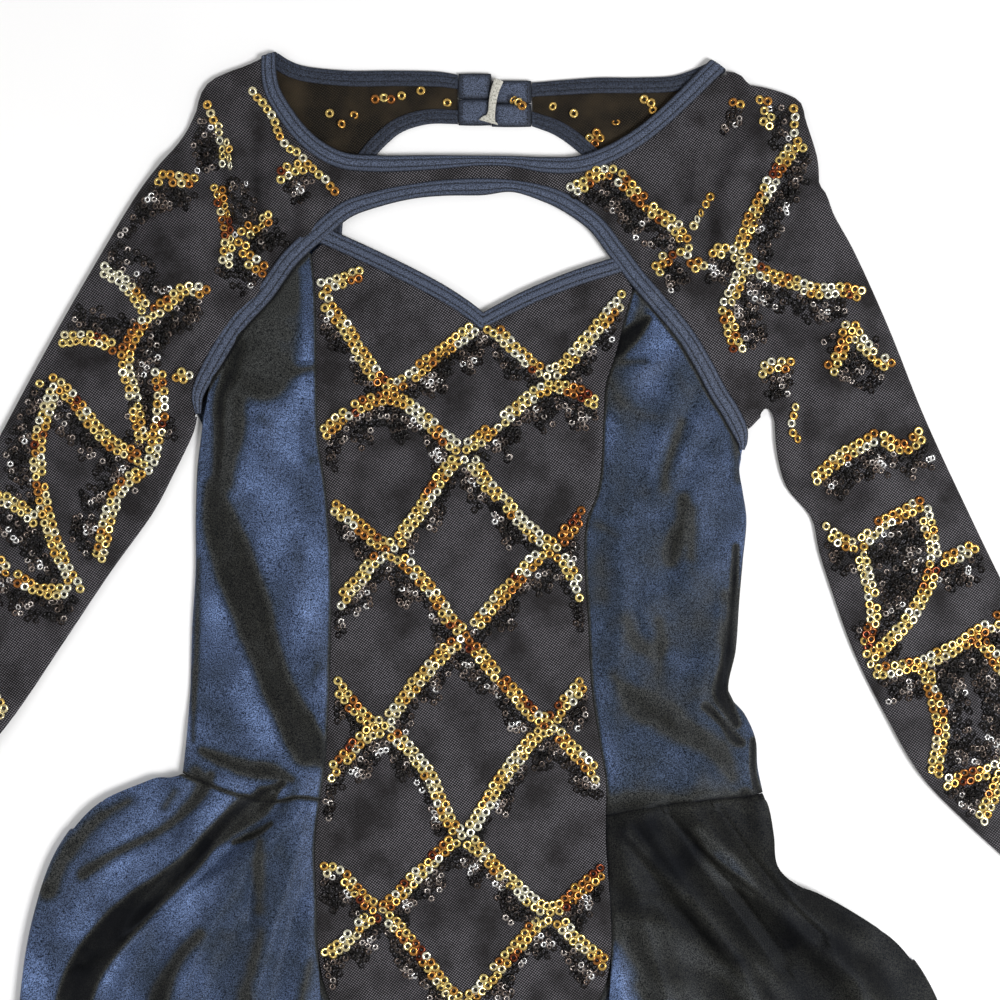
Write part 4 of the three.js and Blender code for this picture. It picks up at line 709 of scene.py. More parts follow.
def centre_height(x, y):
    """Height of the centre front, which settles on the legs at the crotch."""
    fall = ramp(CROTCH_FALL, y)
    return (1 - fall) * front_height(x, y) + fall * LEG_FRONT_LEVEL


def leg_drop(y):
    """How far the legs come down to the table below the skirts."""
    return (LEG_BACK_LEVEL - BACK_LEVEL) * ramp(LEG_LANDING, y)


def leg_front_height(x, y):
    """Height of the legs' front layer."""
    return LEG_FRONT_LEVEL - leg_drop(y)


def leg_back_height(x, y):
    """Height of the legs' back layer."""
    return LEG_BACK_LEVEL - leg_drop(y)


def back_height(x, y):
    """Height of the layer that lies on the table."""
    return np.full(np.shape(x), BACK_LEVEL)


def back_binding_height(x, y):
    """Height of the bindings that lie on the table."""
    return np.full(np.shape(x), BACK_BINDING_LEVEL)


def raised(plan, height):
    """A plan's points, each at the height of its layer."""
    return np.concatenate([plan, height(plan[..., 0], plan[..., 1])[..., None]], axis=-1)


# Pieces of cloth


def alone():
    """Leaves edit mode and selects nothing."""
    if bpy.context.object and bpy.context.object.mode != "OBJECT":
        bpy.ops.object.mode_set(mode="OBJECT")
    bpy.ops.object.select_all(action="DESELECT")


def arc(front, back, inside, cells):
    """The points of a folded edge between the front sheet's edge and the back sheet's."""
    along = np.gradient(front, axis=0)
    out = np.column_stack((along[:, 1], -along[:, 0], np.zeros(len(front))))
    out /= np.linalg.norm(out, axis=1, keepdims=True)
    out *= np.where(np.sum(out * (front - inside), axis=1) < 0, -1, 1)[:, None]
    turn = np.pi * np.linspace(0, 1, cells + 1)[1:-1, None, None]
    points = front + (back - front) * (1 - np.cos(turn)) / 2 + out * FOLD_BULGE * np.sin(turn)
    return points.transpose(1, 0, 2)


ARC_CELLS = 6


def wrapped(front, under, fold_to, closed_to=None):
    """One grid that runs over the front, round the fold and back underneath, with the
    faces that are left out where the front and the back are apart."""
    outer = arc(front[:, -1], under[:, -1], front[:, -2], ARC_CELLS)
    parts = [front, outer, under[:, ::-1]]
    gaps = [(fold_to, front.shape[1] - 1)]
    if closed_to is not None:
        inner = arc(front[:, 0], under[:, 0], front[:, 1], ARC_CELLS)
        gaps.append((closed_to, sum(part.shape[1] for part in parts) - 1))
        parts += [inner[:, ::-1], front[:, :1]]
    return np.concatenate(parts, axis=1), gaps


def cloth(name, grid, wall, gaps=()):
    """A sheet of cloth: a grid laid on its middle surface and given its wall."""
    alone()
    rows, columns = grid.shape[:2]
    bpy.ops.mesh.primitive_grid_add(x_subdivisions=columns - 1, y_subdivisions=rows - 1, size=1)
    piece = bpy.context.object
    piece.name = piece.data.name = name
    piece.data.vertices.foreach_set("co", (grid * MM).ravel())
    piece.data.update()
    left_out = np.zeros((rows - 1, columns - 1), bool)
    for row, column in gaps:
        left_out[row:, column : column + ARC_CELLS] = True
    upwards = piece.data.polygons[(rows // 2) * (columns - 1) + 3].normal.z > 0
    piece.data.polygons.foreach_set("select", left_out.ravel())
    bpy.ops.object.mode_set(mode="EDIT")
    bpy.ops.mesh.select_mode(type="FACE")
    if gaps:
        bpy.ops.mesh.delete(type="FACE")
        bpy.ops.mesh.select_all(action="SELECT")
        bpy.ops.mesh.remove_doubles(threshold=2e-6)
    bpy.ops.mesh.select_all(action="SELECT")
    if not upwards:
        bpy.ops.mesh.flip_normals()
    bpy.ops.object.mode_set(mode="OBJECT")
    modifier(piece, "SOLIDIFY", thickness=wall, offset=0)
    bpy.ops.object.shade_smooth_by_angle(angle=math.radians(55))
    return piece


def satin_cloth(name, grid, gaps=()):
    """A sheet of satin, with its painted sheen and painted shade at each place in an attribute that its
    material reads.
    """
    piece = cloth(name, grid, bpy.context.scene.biketard_cloth.satin_wall, gaps)
    points = np.zeros(len(piece.data.vertices) * 3)
    piece.data.vertices.foreach_get("co", points)
    x, y, z = points.reshape(-1, 3).T / MM
    upper = ramp(FRONT_LAYER, z)
    # painted sheen of the layers underneath: slow waves about a level a little below the plain one
    beneath = SHEEN_PLAIN - 0.12 + 0.2 * np.sin(x * 0.05 + 2 * np.sin(y * 0.02))
    sheen = upper * sheen_at(x, y) + (1 - upper) * beneath
    with_value(piece, "sheen", sheen)
    return piece


def with_value(piece, name, values):
    """Keeps a value for each vertex in an attribute that the piece's material reads."""
    made = piece.data.attributes.new(name, "FLOAT", "POINT")
    made.data.foreach_set("value", np.asarray(values, np.float32))


def modifier(piece, kind, **settings):
    """Adds a modifier with its settings and applies it."""
    bpy.context.view_layer.objects.active = piece
    piece.select_set(True)
    bpy.ops.object.modifier_add(type=kind)
    made = piece.modifiers[-1]
    for key, value in settings.items():
        setattr(made, key, value)
    bpy.ops.object.modifier_apply(modifier=made.name)


def finish_piece(piece, slot, *materials, replaces=()):
    """Gives a piece its materials and its body, and hides the model's parts that it stands for; its slot is not
    used.
    """
    piece.data.materials.clear()
    for material in materials:
        piece.data.materials.append(material)
    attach(piece, "root")
    if replaces:
        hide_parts(*replaces)
    return piece


FINE = {"across": 5, "down": 5}  # steps of the centre front's grid between two rows of its plan


def centre_front_plan():
    """Grid of the centre front, from the sweetheart edge to the crotch."""
    k = FINE["across"]
    half = 4 * k
    left = stretch(SWEETHEART_LEFT, 0.1, 1, half, -1, TUCK)
    right = stretch(SWEETHEART_RIGHT, 0, 0.9, half, -1, TUCK)
    left[-1] = right[0] = (CENTRE_FRONT, 98.6)
    top = join(
        finer([(-106.6, 140), (-101.8, 145), left[0]], k), left,
        right, finer([right[-1], (69, 130), (75, 120.2)], k),
    )

    def seam(rows, side, hip):
        """The panel's edge along one of its side seams."""
        down = FINE["down"]
        above = stretch(rows, 0, hip, SEAM_ROWS["bodice"] * down, side, SEAM_GAP)
        return join(above, stretch(rows, hip, 1, SEAM_ROWS["below"] * down, side, SEAM_GAP))

    left_seam = seam(PANEL_LEFT, 1, PANEL_HIP["left"])
    right_seam = seam(PANEL_RIGHT, -1, PANEL_HIP["right"])
    left_seam[0], right_seam[0] = top[0], top[-1]
    return patch(top, straight(left_seam[-1], right_seam[-1], len(top) - 1), left_seam, right_seam)


def side_front_grid(side, panel, panel_hip, seam_side, arch_ends, hip, hip_side):
    """Grid of a side front, from the arch binding to the hip seam."""
    rows = SEAM_ROWS["bodice"] * FINE["down"] * 2
    k = 8
    cells = 8 * k
    side_edge = stretch(side, 0, 1, rows)
    seam = stretch(panel, 0, panel_hip, rows, seam_side, SEAM_GAP)
    arch = stretch(ARCH, *arch_ends, cells - 2 * k, -1, TUCK)
    top = join(straight(side_edge[0], arch[0], k), arch, straight(arch[-1], seam[0], k))
    bottom = stretch(hip, 0, 1, cells, hip_side, SEAM_GAP)
    bottom[0], bottom[-1] = side_edge[-1], seam[-1]
    grid = raised(patch(top, bottom, side_edge, seam), front_height)
    # the front rolls over to the side seam in the last few millimetres
    low = SIDE_SEAM_LEVEL + (SIDE_HIP_LEVEL - SIDE_SEAM_LEVEL) * ramp(HIP_RISE, side_edge[:, 1])[:, None]
    inward = np.linalg.norm(grid[:, :, :2] - grid[:, :1, :2], axis=2)
    roll = np.sqrt(1 - (1 - np.clip(inward / SIDE_ROLL, 0, 1)) ** 2)
    grid[:, :, 2] = low + (grid[:, :, 2] - low) * roll
    return grid


def back_plans():
    """Grids of the back: the two horns beside the keyhole, and the body."""
    k = 3
    rows, low, wide, middle = 9 * k, 8 * k, 3 * k, 5 * k

    def horn(raglan, raglan_side, start, end):
        """The part between a raglan seam and the keyhole."""
        outer = stretch(raglan, 1, 0, rows, raglan_side, SEAM_GAP)
        inner = stretch(KEYHOLE, start, end, rows, -1, TUCK)
        return patch(straight(outer[0], inner[0], wide), straight(outer[-1], inner[-1], wide), outer, inner)

    key_left, key_right = (-30, 52), (30, 55)
    left = horn(RAGLAN_LEFT, -1, (-94, 152), key_left)
    right = horn(RAGLAN_RIGHT, 1, (80.4, 136), key_right)
    bridge = stretch(KEYHOLE, key_left, key_right, middle, -1, TUCK)
    top = join(left[-1], bridge, right[-1][::-1])
    sides = [
        stretch([(-172.2, 49.4)] + SIDE_LEFT, 0, 1, low),
        stretch([(139.4, 43.4), (139, 34)] + SIDE_RIGHT, 0, 1, low),
    ]
    sides[0][0], sides[1][0] = top[0], top[-1]
    centre = np.array((CENTRE_BACK["x"], CENTRE_BACK["hip"] + 0.4))
    bottom = join(straight(sides[0][-1], centre, 7 * k), straight(centre, sides[1][-1], len(top) - 1 - 7 * k))
    return left, right, patch(top, bottom, *sides)


def yoke_sleeve_grid(lines):
    """Grid of a sleeve and its half of the yoke, the faces to leave out, and the front's plan."""
    k = 4
    under, over = lines["under"], lines["over"]
    stops = [14 * k, 2 * k]
    arm = [stretch(under, a, b, n) for a, b, n in zip(lines["under_stops"], lines["under_stops"][1:], stops)]
    arm_over = [stretch(over, a, b, n) for a, b, n in zip(lines["over_stops"], lines["over_stops"][1:], stops)]
    closed_to, shoulder_cells, centre_cells, on_raglan = 16 * k, 9 * k, 14 * k, 3 * k
    a, b, c = lines["arch"]
    inner = join(*arm, stretch(ARCH, a, b, shoulder_cells, 1, TUCK), stretch(ARCH, b, c, centre_cells, 1, TUCK))
    shoulder = stretch(over, lines["over_stops"][-1], 1, shoulder_cells)
    outer = join(*arm_over, shoulder, stretch(NECK_FRONT, *lines["neck_front"], centre_cells, -1, TUCK))
    raglan, side, stop = lines["raglan"]
    back_inner = join(
        *arm,
        stretch(raglan, 0, stop, shoulder_cells, side, SEAM_GAP),
        stretch(raglan, stop, 1, on_raglan, side, SEAM_GAP),
        stretch(KEYHOLE, *lines["keyhole"], centre_cells - on_raglan, -1, TUCK),
    )
    neck, neck_side = lines["neck_back"]
    back_outer = join(*arm_over, shoulder, stretch(neck, 0, 1, centre_cells, neck_side, TUCK))
    inner[-1, 0] = outer[-1, 0] = CENTRE_FRONT + math.copysign(SEAM_GAP, outer[0, 0])
    front = raised(ruled(inner, outer, 30), front_height)
    under_sheet = raised(ruled(back_inner, back_outer, 12), back_height)
    grid, gaps = wrapped(front, under_sheet, closed_to + shoulder_cells, closed_to)
    return grid, gaps, front[:, :, :2]


YOKE_LINES = {
    "left": {
        "under": UNDERARM_LEFT, "over": OVERARM_LEFT,
        "under_stops": [0, (-187, 16), 1], "over_stops": [0, (-268, 64), (-248, 99)],
        "arch": (0.01, (-138, 112), (CENTRE_FRONT, 178)), "neck_front": (0.02, (CENTRE_FRONT, 192.7)),
        "raglan": (RAGLAN_LEFT, 1, (-126, 122)), "keyhole": ((-94, 152), 0), "neck_back": (NECK_BACK_LEFT, -1),
    },
    "right": {
        "under": UNDERARM_RIGHT, "over": OVERARM_RIGHT,
        "under_stops": [0, (153.6, 54), 1], "over_stops": [0, (219, 98), (200, 140)],
        "arch": ((136, 40), (101, 99), (CENTRE_FRONT, 178)), "neck_front": (0.98, (CENTRE_FRONT, 192.7)),
        "raglan": (RAGLAN_RIGHT, -1, (110, 108)), "keyhole": ((80.4, 136), 1),
        "neck_back": (NECK_BACK_RIGHT, 1),
    },
}


def leg_grid(inseam, side, panel, panel_hip, panel_side):
    """Grid of a leg, round its outer fold."""
    k = 3
    low, high = 5 * k, SEAM_ROWS["below"] * k
    towards = math.copysign(1, side[0][0] - CENTRE_BACK["x"])
    tube = stretch(inseam, 1, 0, low)
    seam = stretch(panel, 1, panel_hip, high, panel_side, 0.2)
    inner = join(tube, straight(tube[-1], seam[0], k), seam)
    crotch = np.array((CENTRE_BACK["x"] + towards * SEAM_GAP, CENTRE_BACK["crotch"]))
    waist = np.array((crotch[0], CENTRE_BACK["hip"]))
    back_inner = join(tube, straight(tube[-1], crotch, k), straight(crotch, waist, high))
    outer = join(stretch(side, 1, side[3], low + k), stretch(side, side[3], 0, high))
    front = raised(ruled(inner, outer, 12), leg_front_height)
    under = raised(ruled(back_inner, outer, 9), leg_back_height)
    return wrapped(front, under, len(inner), low)


# Cells of a skirt's front down and across, and how many at each edge keep it from leaning
SKIRT = {"rows": 150, "wide": 170, "flat": 18}
SKIRT_LEAN = 0.35  # how far a skirt's folds lean over, as a share of their height


def skirt_grid(hip, hip_side, hem, edge, edge_side, fold):
    """Grid of a skirt: its folded front and its back, round the outer fold."""
    rows, wide = SKIRT["rows"], SKIRT["wide"]
    towards = math.copysign(1, fold[0][0] - CENTRE_BACK["x"])
    outer = stretch(fold, 0, 1, rows)
    inner = stretch(edge, 0, 1, rows, edge_side, 0.3)
    top = stretch(hip, 1, 0, wide, hip_side, SEAM_GAP)
    top[0], top[-1] = inner[0], outer[0]
    front = raised(patch(top, stretch(hem, 0, 1, wide), inner, outer), front_height)
    front[0, -1, 2] = SIDE_HIP_LEVEL
    # the folds lean towards the centre panel, more where they are tall
    lift = np.clip(front[:, :, 2] - HIP_LEVEL, 0, None)
    within = np.clip(np.minimum(np.arange(wide + 1), np.arange(wide, -1, -1)) / SKIRT["flat"], 0, 1)
    front[:, :, 0] -= towards * SKIRT_LEAN * lift * within
    waist = np.array((CENTRE_BACK["x"] + towards * SEAM_GAP, CENTRE_BACK["hip"] - 0.4))
    low = np.array((waist[0], CENTRE_BACK["hem"]))
    under_top, under_hem = straight(waist, outer[0], 14), straight(low, outer[-1], 14)
    under = raised(patch(under_top, under_hem, straight(waist, low, rows), outer), back_height)
    return wrapped(front, under, len(inner))


# Bindings: strips with a soft round face and a groove for each row of stitches. The
# profile's columns are the place across, as a share of half the width, and the height,
# as a share of the thickness.
PROFILE = [
    (1, 0.06), (0.96, 0.26), (0.84, 0.38), (0.66, 0.43), (0.52, 0.42), (0.42, 0.37), (0.32, 0.43), (0.14, 0.48),
    (-0.04, 0.5), (-0.2, 0.48), (-0.32, 0.43), (-0.42, 0.36), (-0.52, 0.42), (-0.68, 0.45), (-0.86, 0.42),
    (-0.96, 0.28), (-1, 0.06), (-1, -0.1), (-0.9, -0.36), (-0.6, -0.44), (-0.42, -0.3), (-0.2, -0.46),
    (0.2, -0.46),
    (0.42, -0.3), (0.6, -0.44), (0.9, -0.36), (1, -0.1),
]
STITCH_ROW = 0.42


class Ribbon:
    """A strip's stations: where its middle is, which way its face looks, and its width."""

    def __init__(self, at, out, width):
        self.at = np.asarray(at, float)
        self.out = np.asarray(out, float)
        self.width = np.asarray(width, float)
        self.cuts = {}

    @classmethod
    def along(cls, rows, height, out, pitch=2.0):
        """Stations along a table's line, level with a layer."""
        line = Line(rows)
        point, _ = line.at(np.linspace(0, 1, int(line.length / pitch) + 1))
        at = np.column_stack((point[:, :2], height(point[:, 0], point[:, 1])))
        return cls(at, np.tile(out, (len(at), 1)), point[:, 2])

    def reversed(self):
        """The same strip from its other end."""
        turned = Ribbon(self.at[::-1], self.out[::-1], self.width[::-1])
        turned.cuts = {len(self.at) - 1 - i: cut for i, cut in self.cuts.items()}
        return turned

    def then(self, other, skip=1):
        """This strip with another joined on, without the station that they share."""
        both = Ribbon(
            np.vstack((self.at, other.at[skip:])), np.vstack((self.out, other.out[skip:])),
            np.concatenate((self.width, other.width[skip:])),
        )
        both.cuts = dict(self.cuts)
        both.cuts.update({i + len(self.at) - skip: cut for i, cut in other.cuts.items() if i >= skip})
        return both

    def across(self):
        """The way across the strip at each station, longer where it turns a corner."""
        steps = np.diff(self.at, axis=0)
        before = np.vstack((steps[:1], steps))
        after = np.vstack((steps, steps[-1:]))
        flat = []
        for way in (before, after):
            way = way - self.out * np.sum(way * self.out, axis=1, keepdims=True)
            flat.append(way / np.linalg.norm(way, axis=1, keepdims=True))
        along = flat[0] + flat[1]
        along /= np.linalg.norm(along, axis=1, keepdims=True)
        across = np.cross(self.out, along)
        mitre = np.sqrt((1 + np.sum(flat[0] * flat[1], axis=1)) / 2)
        across /= np.maximum(0.5, mitre)[:, None]
        for i, cut in self.cuts.items():
            cut = np.asarray(cut, float)
            across[i] = cut / np.dot(cut, across[i])
        return across, along

    def rings(self, thick, profile=PROFILE):
        """The profile laid at every station."""
        across, _ = self.across()
        sides = np.array([p[0] for p in profile])[None, :, None]
        ups = np.array([p[1] for p in profile])[None, :, None]
        wide = across[:, None] * self.width[:, None, None] / 2
        return self.at[:, None] + wide * sides + self.out[:, None] * ups * thick


def swept(name, ribbon, thick, profile=PROFILE):
    """A closed strip: a cylinder's side laid over the rings, with its ends filled."""
    alone()
    rings = ribbon.rings(thick, profile)
    count, sides = rings.shape[:2]
    across, up = np.array([*profile, profile[0]]).T
    # painted shade: the binding's colour is darker in its stitch grooves, towards its edges and on its
    # underside
    row = np.exp(-(((np.abs(across) - STITCH_ROW) / 0.1) ** 2))
    tone = np.where(up > 0, 1 - 0.55 * row - 0.85 * ramp((0.72, 1), np.abs(across)), 0.45)
    closed = np.concatenate([rings, rings[:, :1]], axis=1)
    bpy.ops.mesh.primitive_grid_add(x_subdivisions=sides, y_subdivisions=count - 1, size=1)
    piece = bpy.context.object
    piece.name = piece.data.name = name
    piece.data.vertices.foreach_set("co", (closed * MM).ravel())
    piece.data.update()
    with_value(piece, "sheen", np.tile(tone, count))
    bpy.ops.object.mode_set(mode="EDIT")
    bpy.ops.mesh.select_all(action="SELECT")
    bpy.ops.mesh.remove_doubles(threshold=1e-6)
    bpy.ops.mesh.select_all(action="DESELECT")
    bpy.ops.mesh.select_mode(type="EDGE")
    bpy.ops.mesh.select_non_manifold()
    bpy.ops.mesh.edge_face_add()
    bpy.ops.mesh.select_all(action="SELECT")
    bpy.ops.mesh.normals_make_consistent(inside=False)
    bpy.ops.object.mode_set(mode="OBJECT")
    bpy.ops.object.shade_smooth_by_angle(angle=math.radians(50))
    return piece


UP, DOWN = (0, 0, 1), (0, 0, -1)
END_CUT = (0, 1, 0)


def shoulder_turn(front, cells=12):
    """The turn of a binding over the shoulder, from its first front station to the back."""
    last, before = front.at[0], front.at[1]
    cut = np.array(front.cuts[0], float)
    along = last - before
    along[2] = 0
    along /= np.linalg.norm(along)
    out = np.array((-cut[1], cut[0], 0))
    out *= math.copysign(1, out @ along)
    radius = (last[2] - BACK_BINDING_LEVEL) / 2
    centre = np.array((last[0], last[1], BACK_BINDING_LEVEL + radius))
    slide = radius * (along @ cut) / (along @ out)
    at, outs = [], []
    for turn in np.pi * np.linspace(0, 1, cells + 1):
        outside = out * math.sin(turn) + np.array((0, 0, math.cos(turn)))
        at.append(centre + outside * radius + cut * slide * turn)
        outs.append(outside)
    turned = Ribbon(at, outs, np.full(cells + 1, front.width[0]))
    turned.cuts = {i: cut for i in range(cells + 1)}
    return turned


def neck_ribbon():
    """The neckline's binding, over both shoulders to the closure."""
    front = Ribbon.along(NECK_FRONT, front_height, UP)
    front.cuts = {0: (-0.954, -0.3, 0), len(front.at) - 1: (0.82, -0.572, 0)}

    def back_half(start, rows):
        """The turn over a shoulder and the part behind it."""
        turn = shoulder_turn(start)
        end = turn.at[-1]
        behind = Ribbon.along([(end[0], end[1], turn.width[-1])] + rows, back_binding_height, DOWN)
        behind.cuts = {len(behind.at) - 1: END_CUT}
        return turn.then(behind)

    left = back_half(front, NECK_BACK_LEFT)
    right = back_half(front.reversed(), NECK_BACK_RIGHT)
    return left.reversed().then(front).then(right)


def keyhole_ribbon():
    """The keyhole's binding."""
    ring = Ribbon.along(KEYHOLE, back_binding_height, DOWN)
    ring.cuts = {0: END_CUT, len(ring.at) - 1: END_CUT}
    return ring


def sweetheart_ribbon():
    """The sweetheart edge's binding, run on a little at both ends."""
    left = Ribbon.along(SWEETHEART_LEFT, front_height, UP)
    right = Ribbon.along(SWEETHEART_RIGHT, front_height, UP)
    left.cuts = {0: (0.727, 0.687, 0)}
    right.cuts = {len(right.at) - 1: (-0.607, 0.794, 0)}
    whole = left.then(right)
    for end, beside in ((0, 1), (-1, -2)):
        way = whole.at[end] - whole.at[beside]
        whole.at[end] += way / np.linalg.norm(way) * 1.5
    return whole


# Small pieces that repeat


def copies(name, master, at, turns, tones=None):
    """One mesh of many copies of a small closed shape, each at its place and turn. A tone
    per copy goes into an attribute that its material reads."""
    mesh = master.data
    points = np.zeros(len(mesh.vertices) * 3)
    mesh.vertices.foreach_get("co", points)
    points = points.reshape(-1, 3)
    corners = [len(p.vertices) for p in mesh.polygons]
    loops = np.zeros(sum(corners), int)
    mesh.loops.foreach_get("vertex_index", loops)
    count, each = len(at), len(points)
    placed = np.einsum("nij,vj->nvi", turns, points) + (np.asarray(at) * MM)[:, None]
    made = bpy.data.meshes.new(name)
    made.vertices.add(count * each)
    made.vertices.foreach_set("co", placed.ravel())
    made.loops.add(count * len(loops))
    made.loops.foreach_set("vertex_index", (loops[None] + each * np.arange(count)[:, None]).ravel())
    made.polygons.add(count * len(corners))
    starts = np.concatenate(([0], np.cumsum(corners)[:-1]))
    made.polygons.foreach_set("loop_start", (starts[None] + len(loops) * np.arange(count)[:, None]).ravel())
    made.update(calc_edges=True)
    if tones is not None:
        tone = made.attributes.new("tone", "FLOAT", "POINT")
        tone.data.foreach_set("value", np.repeat(tones, each).astype(np.float32))
    made.validate()
    piece = bpy.data.objects.new(name, made)
    bpy.context.scene.collection.objects.link(piece)
    return piece


def turned_to(normals, way):
    """Turns that stand a shape on these normals, with its length the given way."""
    z = normals / np.linalg.norm(normals, axis=1, keepdims=True)
    x = way - z * np.sum(way * z, axis=1, keepdims=True)
    x /= np.linalg.norm(x, axis=1, keepdims=True)
    return np.stack((x, np.cross(z, x), z), axis=2)


def slopes(height, x, y, step=0.8):
    """The way up from the cloth at each place."""
    dx = (height(x + step, y) - height(x - step, y)) / (2 * step)
    dy = (height(x, y + step) - height(x, y - step)) / (2 * step)
    return np.column_stack((-dx, -dy, np.ones(np.shape(x))))


def sequin(name, across, hole, cup, thick, around, section):
    """A cupped sequin: a ring, flattened, with its outside lifted."""
    alone()
    ring = (across - hole) / 4
    bpy.ops.mesh.primitive_torus_add(
        major_segments=around, minor_segments=section, major_radius=(across + hole) / 4, minor_radius=ring
    )
    master = bpy.context.object
    master.name = name
    bpy.ops.object.mode_set(mode="EDIT")
    bpy.ops.mesh.select_all(action="SELECT")
    bpy.ops.transform.resize(value=(1, 1, thick / (2 * ring)))
    bpy.ops.object.mode_set(mode="OBJECT")
    for vertex in master.data.vertices:
        out = math.hypot(vertex.co.x, vertex.co.y)
        vertex.co.z += cup * (out - hole / 2) / (across / 2 - hole / 2)
    return master


def thread_stitch():
    """One stitch: a short round thread that dips at both ends."""
    alone()
    bpy.ops.mesh.primitive_uv_sphere_add(segments=6, ring_count=4, radius=1)
    master = bpy.context.object
    bpy.ops.object.mode_set(mode="EDIT")
    bpy.ops.mesh.select_all(action="SELECT")
    bpy.ops.transform.resize(value=(0.00064, 0.0003, 0.0003))
    bpy.ops.object.mode_set(mode="OBJECT")
    return master


STITCH_PITCH = 1.9


def stitch_places(ribbon, faces=(1,)):
    """Places, ways up and ways along for the stitches of a strip, in its two grooves."""
    across, along = ribbon.across()
    reach = np.concatenate(([0.0], np.cumsum(np.linalg.norm(np.diff(ribbon.at, axis=0), axis=1))))
    stops = np.arange(STITCH_PITCH, reach[-1] - STITCH_PITCH, STITCH_PITCH)

    def sample(values):
        """Values of the stations at the stitches."""
        return np.column_stack([np.interp(stops, reach, c) for c in values.T])

    at, out, way = sample(ribbon.at), sample(ribbon.out), sample(along)
    wide = sample(across * ribbon.width[:, None] / 2)
    found = []
    for face in faces:
        for row in (STITCH_ROW, -STITCH_ROW):
            found.append((at + wide * row + out * face * 0.42 * BINDING, out * face, way))
    return [np.vstack(part) for part in zip(*found)]


def inside(polygon, x, y):
    """Which places lie inside a closed outline."""
    hit = np.zeros(np.shape(x), bool)
    ends = np.roll(polygon, -1, axis=0)
    for (ax, ay), (bx, by) in zip(polygon, ends):
        if ay == by:
            continue
        crosses = (ay > y) != (by > y)
        hit ^= crosses & (x < (bx - ax) * (y - ay) / (by - ay) + ax)
    return hit


def well_inside(polygon, x, y, margin):
    """Which places lie inside an outline by a margin."""
    kept = inside(polygon, x, y)
    for dx, dy in ((margin, 0), (-margin, 0), (0, margin), (0, -margin)):
        kept &= inside(polygon, x + dx, y + dy)
    return kept


def spaced(x, y, nearest):
    """Leaves out each place that is too near to one before it."""
    kept, cells = [], {}
    for i, (px, py) in enumerate(zip(x, y)):
        cell = (int(px // nearest), int(py // nearest))
        around = [(cell[0] + dx, cell[1] + dy) for dx in (-1, 0, 1) for dy in (-1, 0, 1)]
        near = [j for other in around for j in cells.get(other, ())]
        if all(math.hypot(px - x[j], py - y[j]) >= nearest for j in near):
            cells.setdefault(cell, []).append(i)
            kept.append(i)
    return np.array(kept, int)


def gold_places(lines, rng):
    """Places of the gold sequins along the lines, in one or two rows side by side."""
    sizes = bpy.context.scene.biketard_sequins
    pitch = sizes.gold_pitch / MM
    found = []
    for points, rows, _ in lines:
        line = Line(points)
        steps = max(2, int(line.length / pitch))
        for row in range(rows):
            shares = (np.arange(steps) + 0.5 * row + 0.25) / steps
            point, way = line.at(shares)
            out = (row - (rows - 1) / 2) * pitch * 0.94
            found.append(point[:, :2] + np.column_stack((-way[:, 1], way[:, 0])) * out)
    places = np.vstack(found)
    places += rng.normal(0, 0.3, places.shape)
    places = places[rng.random(len(places)) > 0.02]
    return places[spaced(*places.T, pitch * 0.74)]


def black_beside(lines, rng):
    """Places of the black sequins in a band beside the sleeves' gold lines."""
    sizes = bpy.context.scene.biketard_sequins
    pitch, band = sizes.black_pitch / MM, sizes.black_band / MM
    found = []
    for points, _, side in lines:
        if not side:
            continue
        line = Line(points)
        for out in np.arange(3.6, band, pitch * 0.87):
            count = int(line.length / pitch)
            shares = rng.random(count)
            kept = shares[rng.random(count) < 1.6 - (out / band)]
            point, way = line.at(kept)
            found.append(point[:, :2] + np.column_stack((-way[:, 1], way[:, 0])) * side * out)
    places = np.vstack(found)
    places += rng.normal(0, 0.5, places.shape)
    return places[spaced(*places.T, pitch * 0.8)]


def black_below(rows, rng):
    """Places of the black sequins in the scalloped bands under the centre front's rows."""
    sizes = bpy.context.scene.biketard_sequins
    pitch, band = sizes.black_pitch / MM, sizes.black_band / MM * 1.25
    found = []
    for upper, lower in zip(rows, rows[1:] + [[(-200, -400), (200, -400)]]):
        over, under = through(upper, 8), through(lower, 8)
        x = np.arange(-106, 78, pitch)
        top = np.interp(x, over[:, 0], over[:, 1])
        low = np.interp(x, under[:, 0], under[:, 1])
        for column, high, bottom in zip(x, top, low):
            reach = band * (0.8 + 0.25 * math.sin(column * 0.31) + 0.12 * math.sin(column * 0.83 + high))
            down = np.arange(3.8, min(reach, high - bottom - 3), pitch * 0.9)
            kept = down[rng.random(len(down)) < 1.5 - 0.7 * down / reach]
            found.append(np.column_stack((np.full(len(kept), column), high - kept)))
    places = np.vstack(found)
    places += rng.normal(0, 0.6, places.shape)
    return places[spaced(*places.T, pitch * 0.8)]


def tone_field(x, y):
    """Slow changes along the lines, from bright gold to copper."""
    slow = np.sin(x * 0.11 + 0.7 * np.sin(y * 0.07)) * np.cos(y * 0.09 + 1)
    return 0.5 + 0.28 * slow + 0.16 * np.sin(x * 0.31 - y * 0.27)


def glint_field(x, y):
    """Patches in which the black sequins are painted lighter together, as painted glints."""
    waves = np.sin(x * 0.19 + 2 * np.sin(y * 0.05)) * np.sin(y * 0.23 - 1.5 * np.sin(x * 0.06) + 0.8)
    return np.clip(waves, 0, 1) ** 1.5


def sewn_on(name, places, height, master, lift, tilt, rng, tones):
    """Sequins sewn flat on the cloth, each tipped a little its own way."""
    x, y = places.T
    normals = slopes(height, x, y)
    normals /= np.linalg.norm(normals, axis=1, keepdims=True)
    normals[:, :2] += rng.normal(0, tilt, (len(x), 2))
    spin = rng.random(len(x)) * 2 * np.pi
    way = np.column_stack((np.cos(spin), np.sin(spin), np.zeros(len(x))))
    at = np.column_stack((x, y, height(x, y) + lift + rng.random(len(x)) * 0.35))
    return copies(name, master, at, turned_to(normals, way), tones)


# Materials


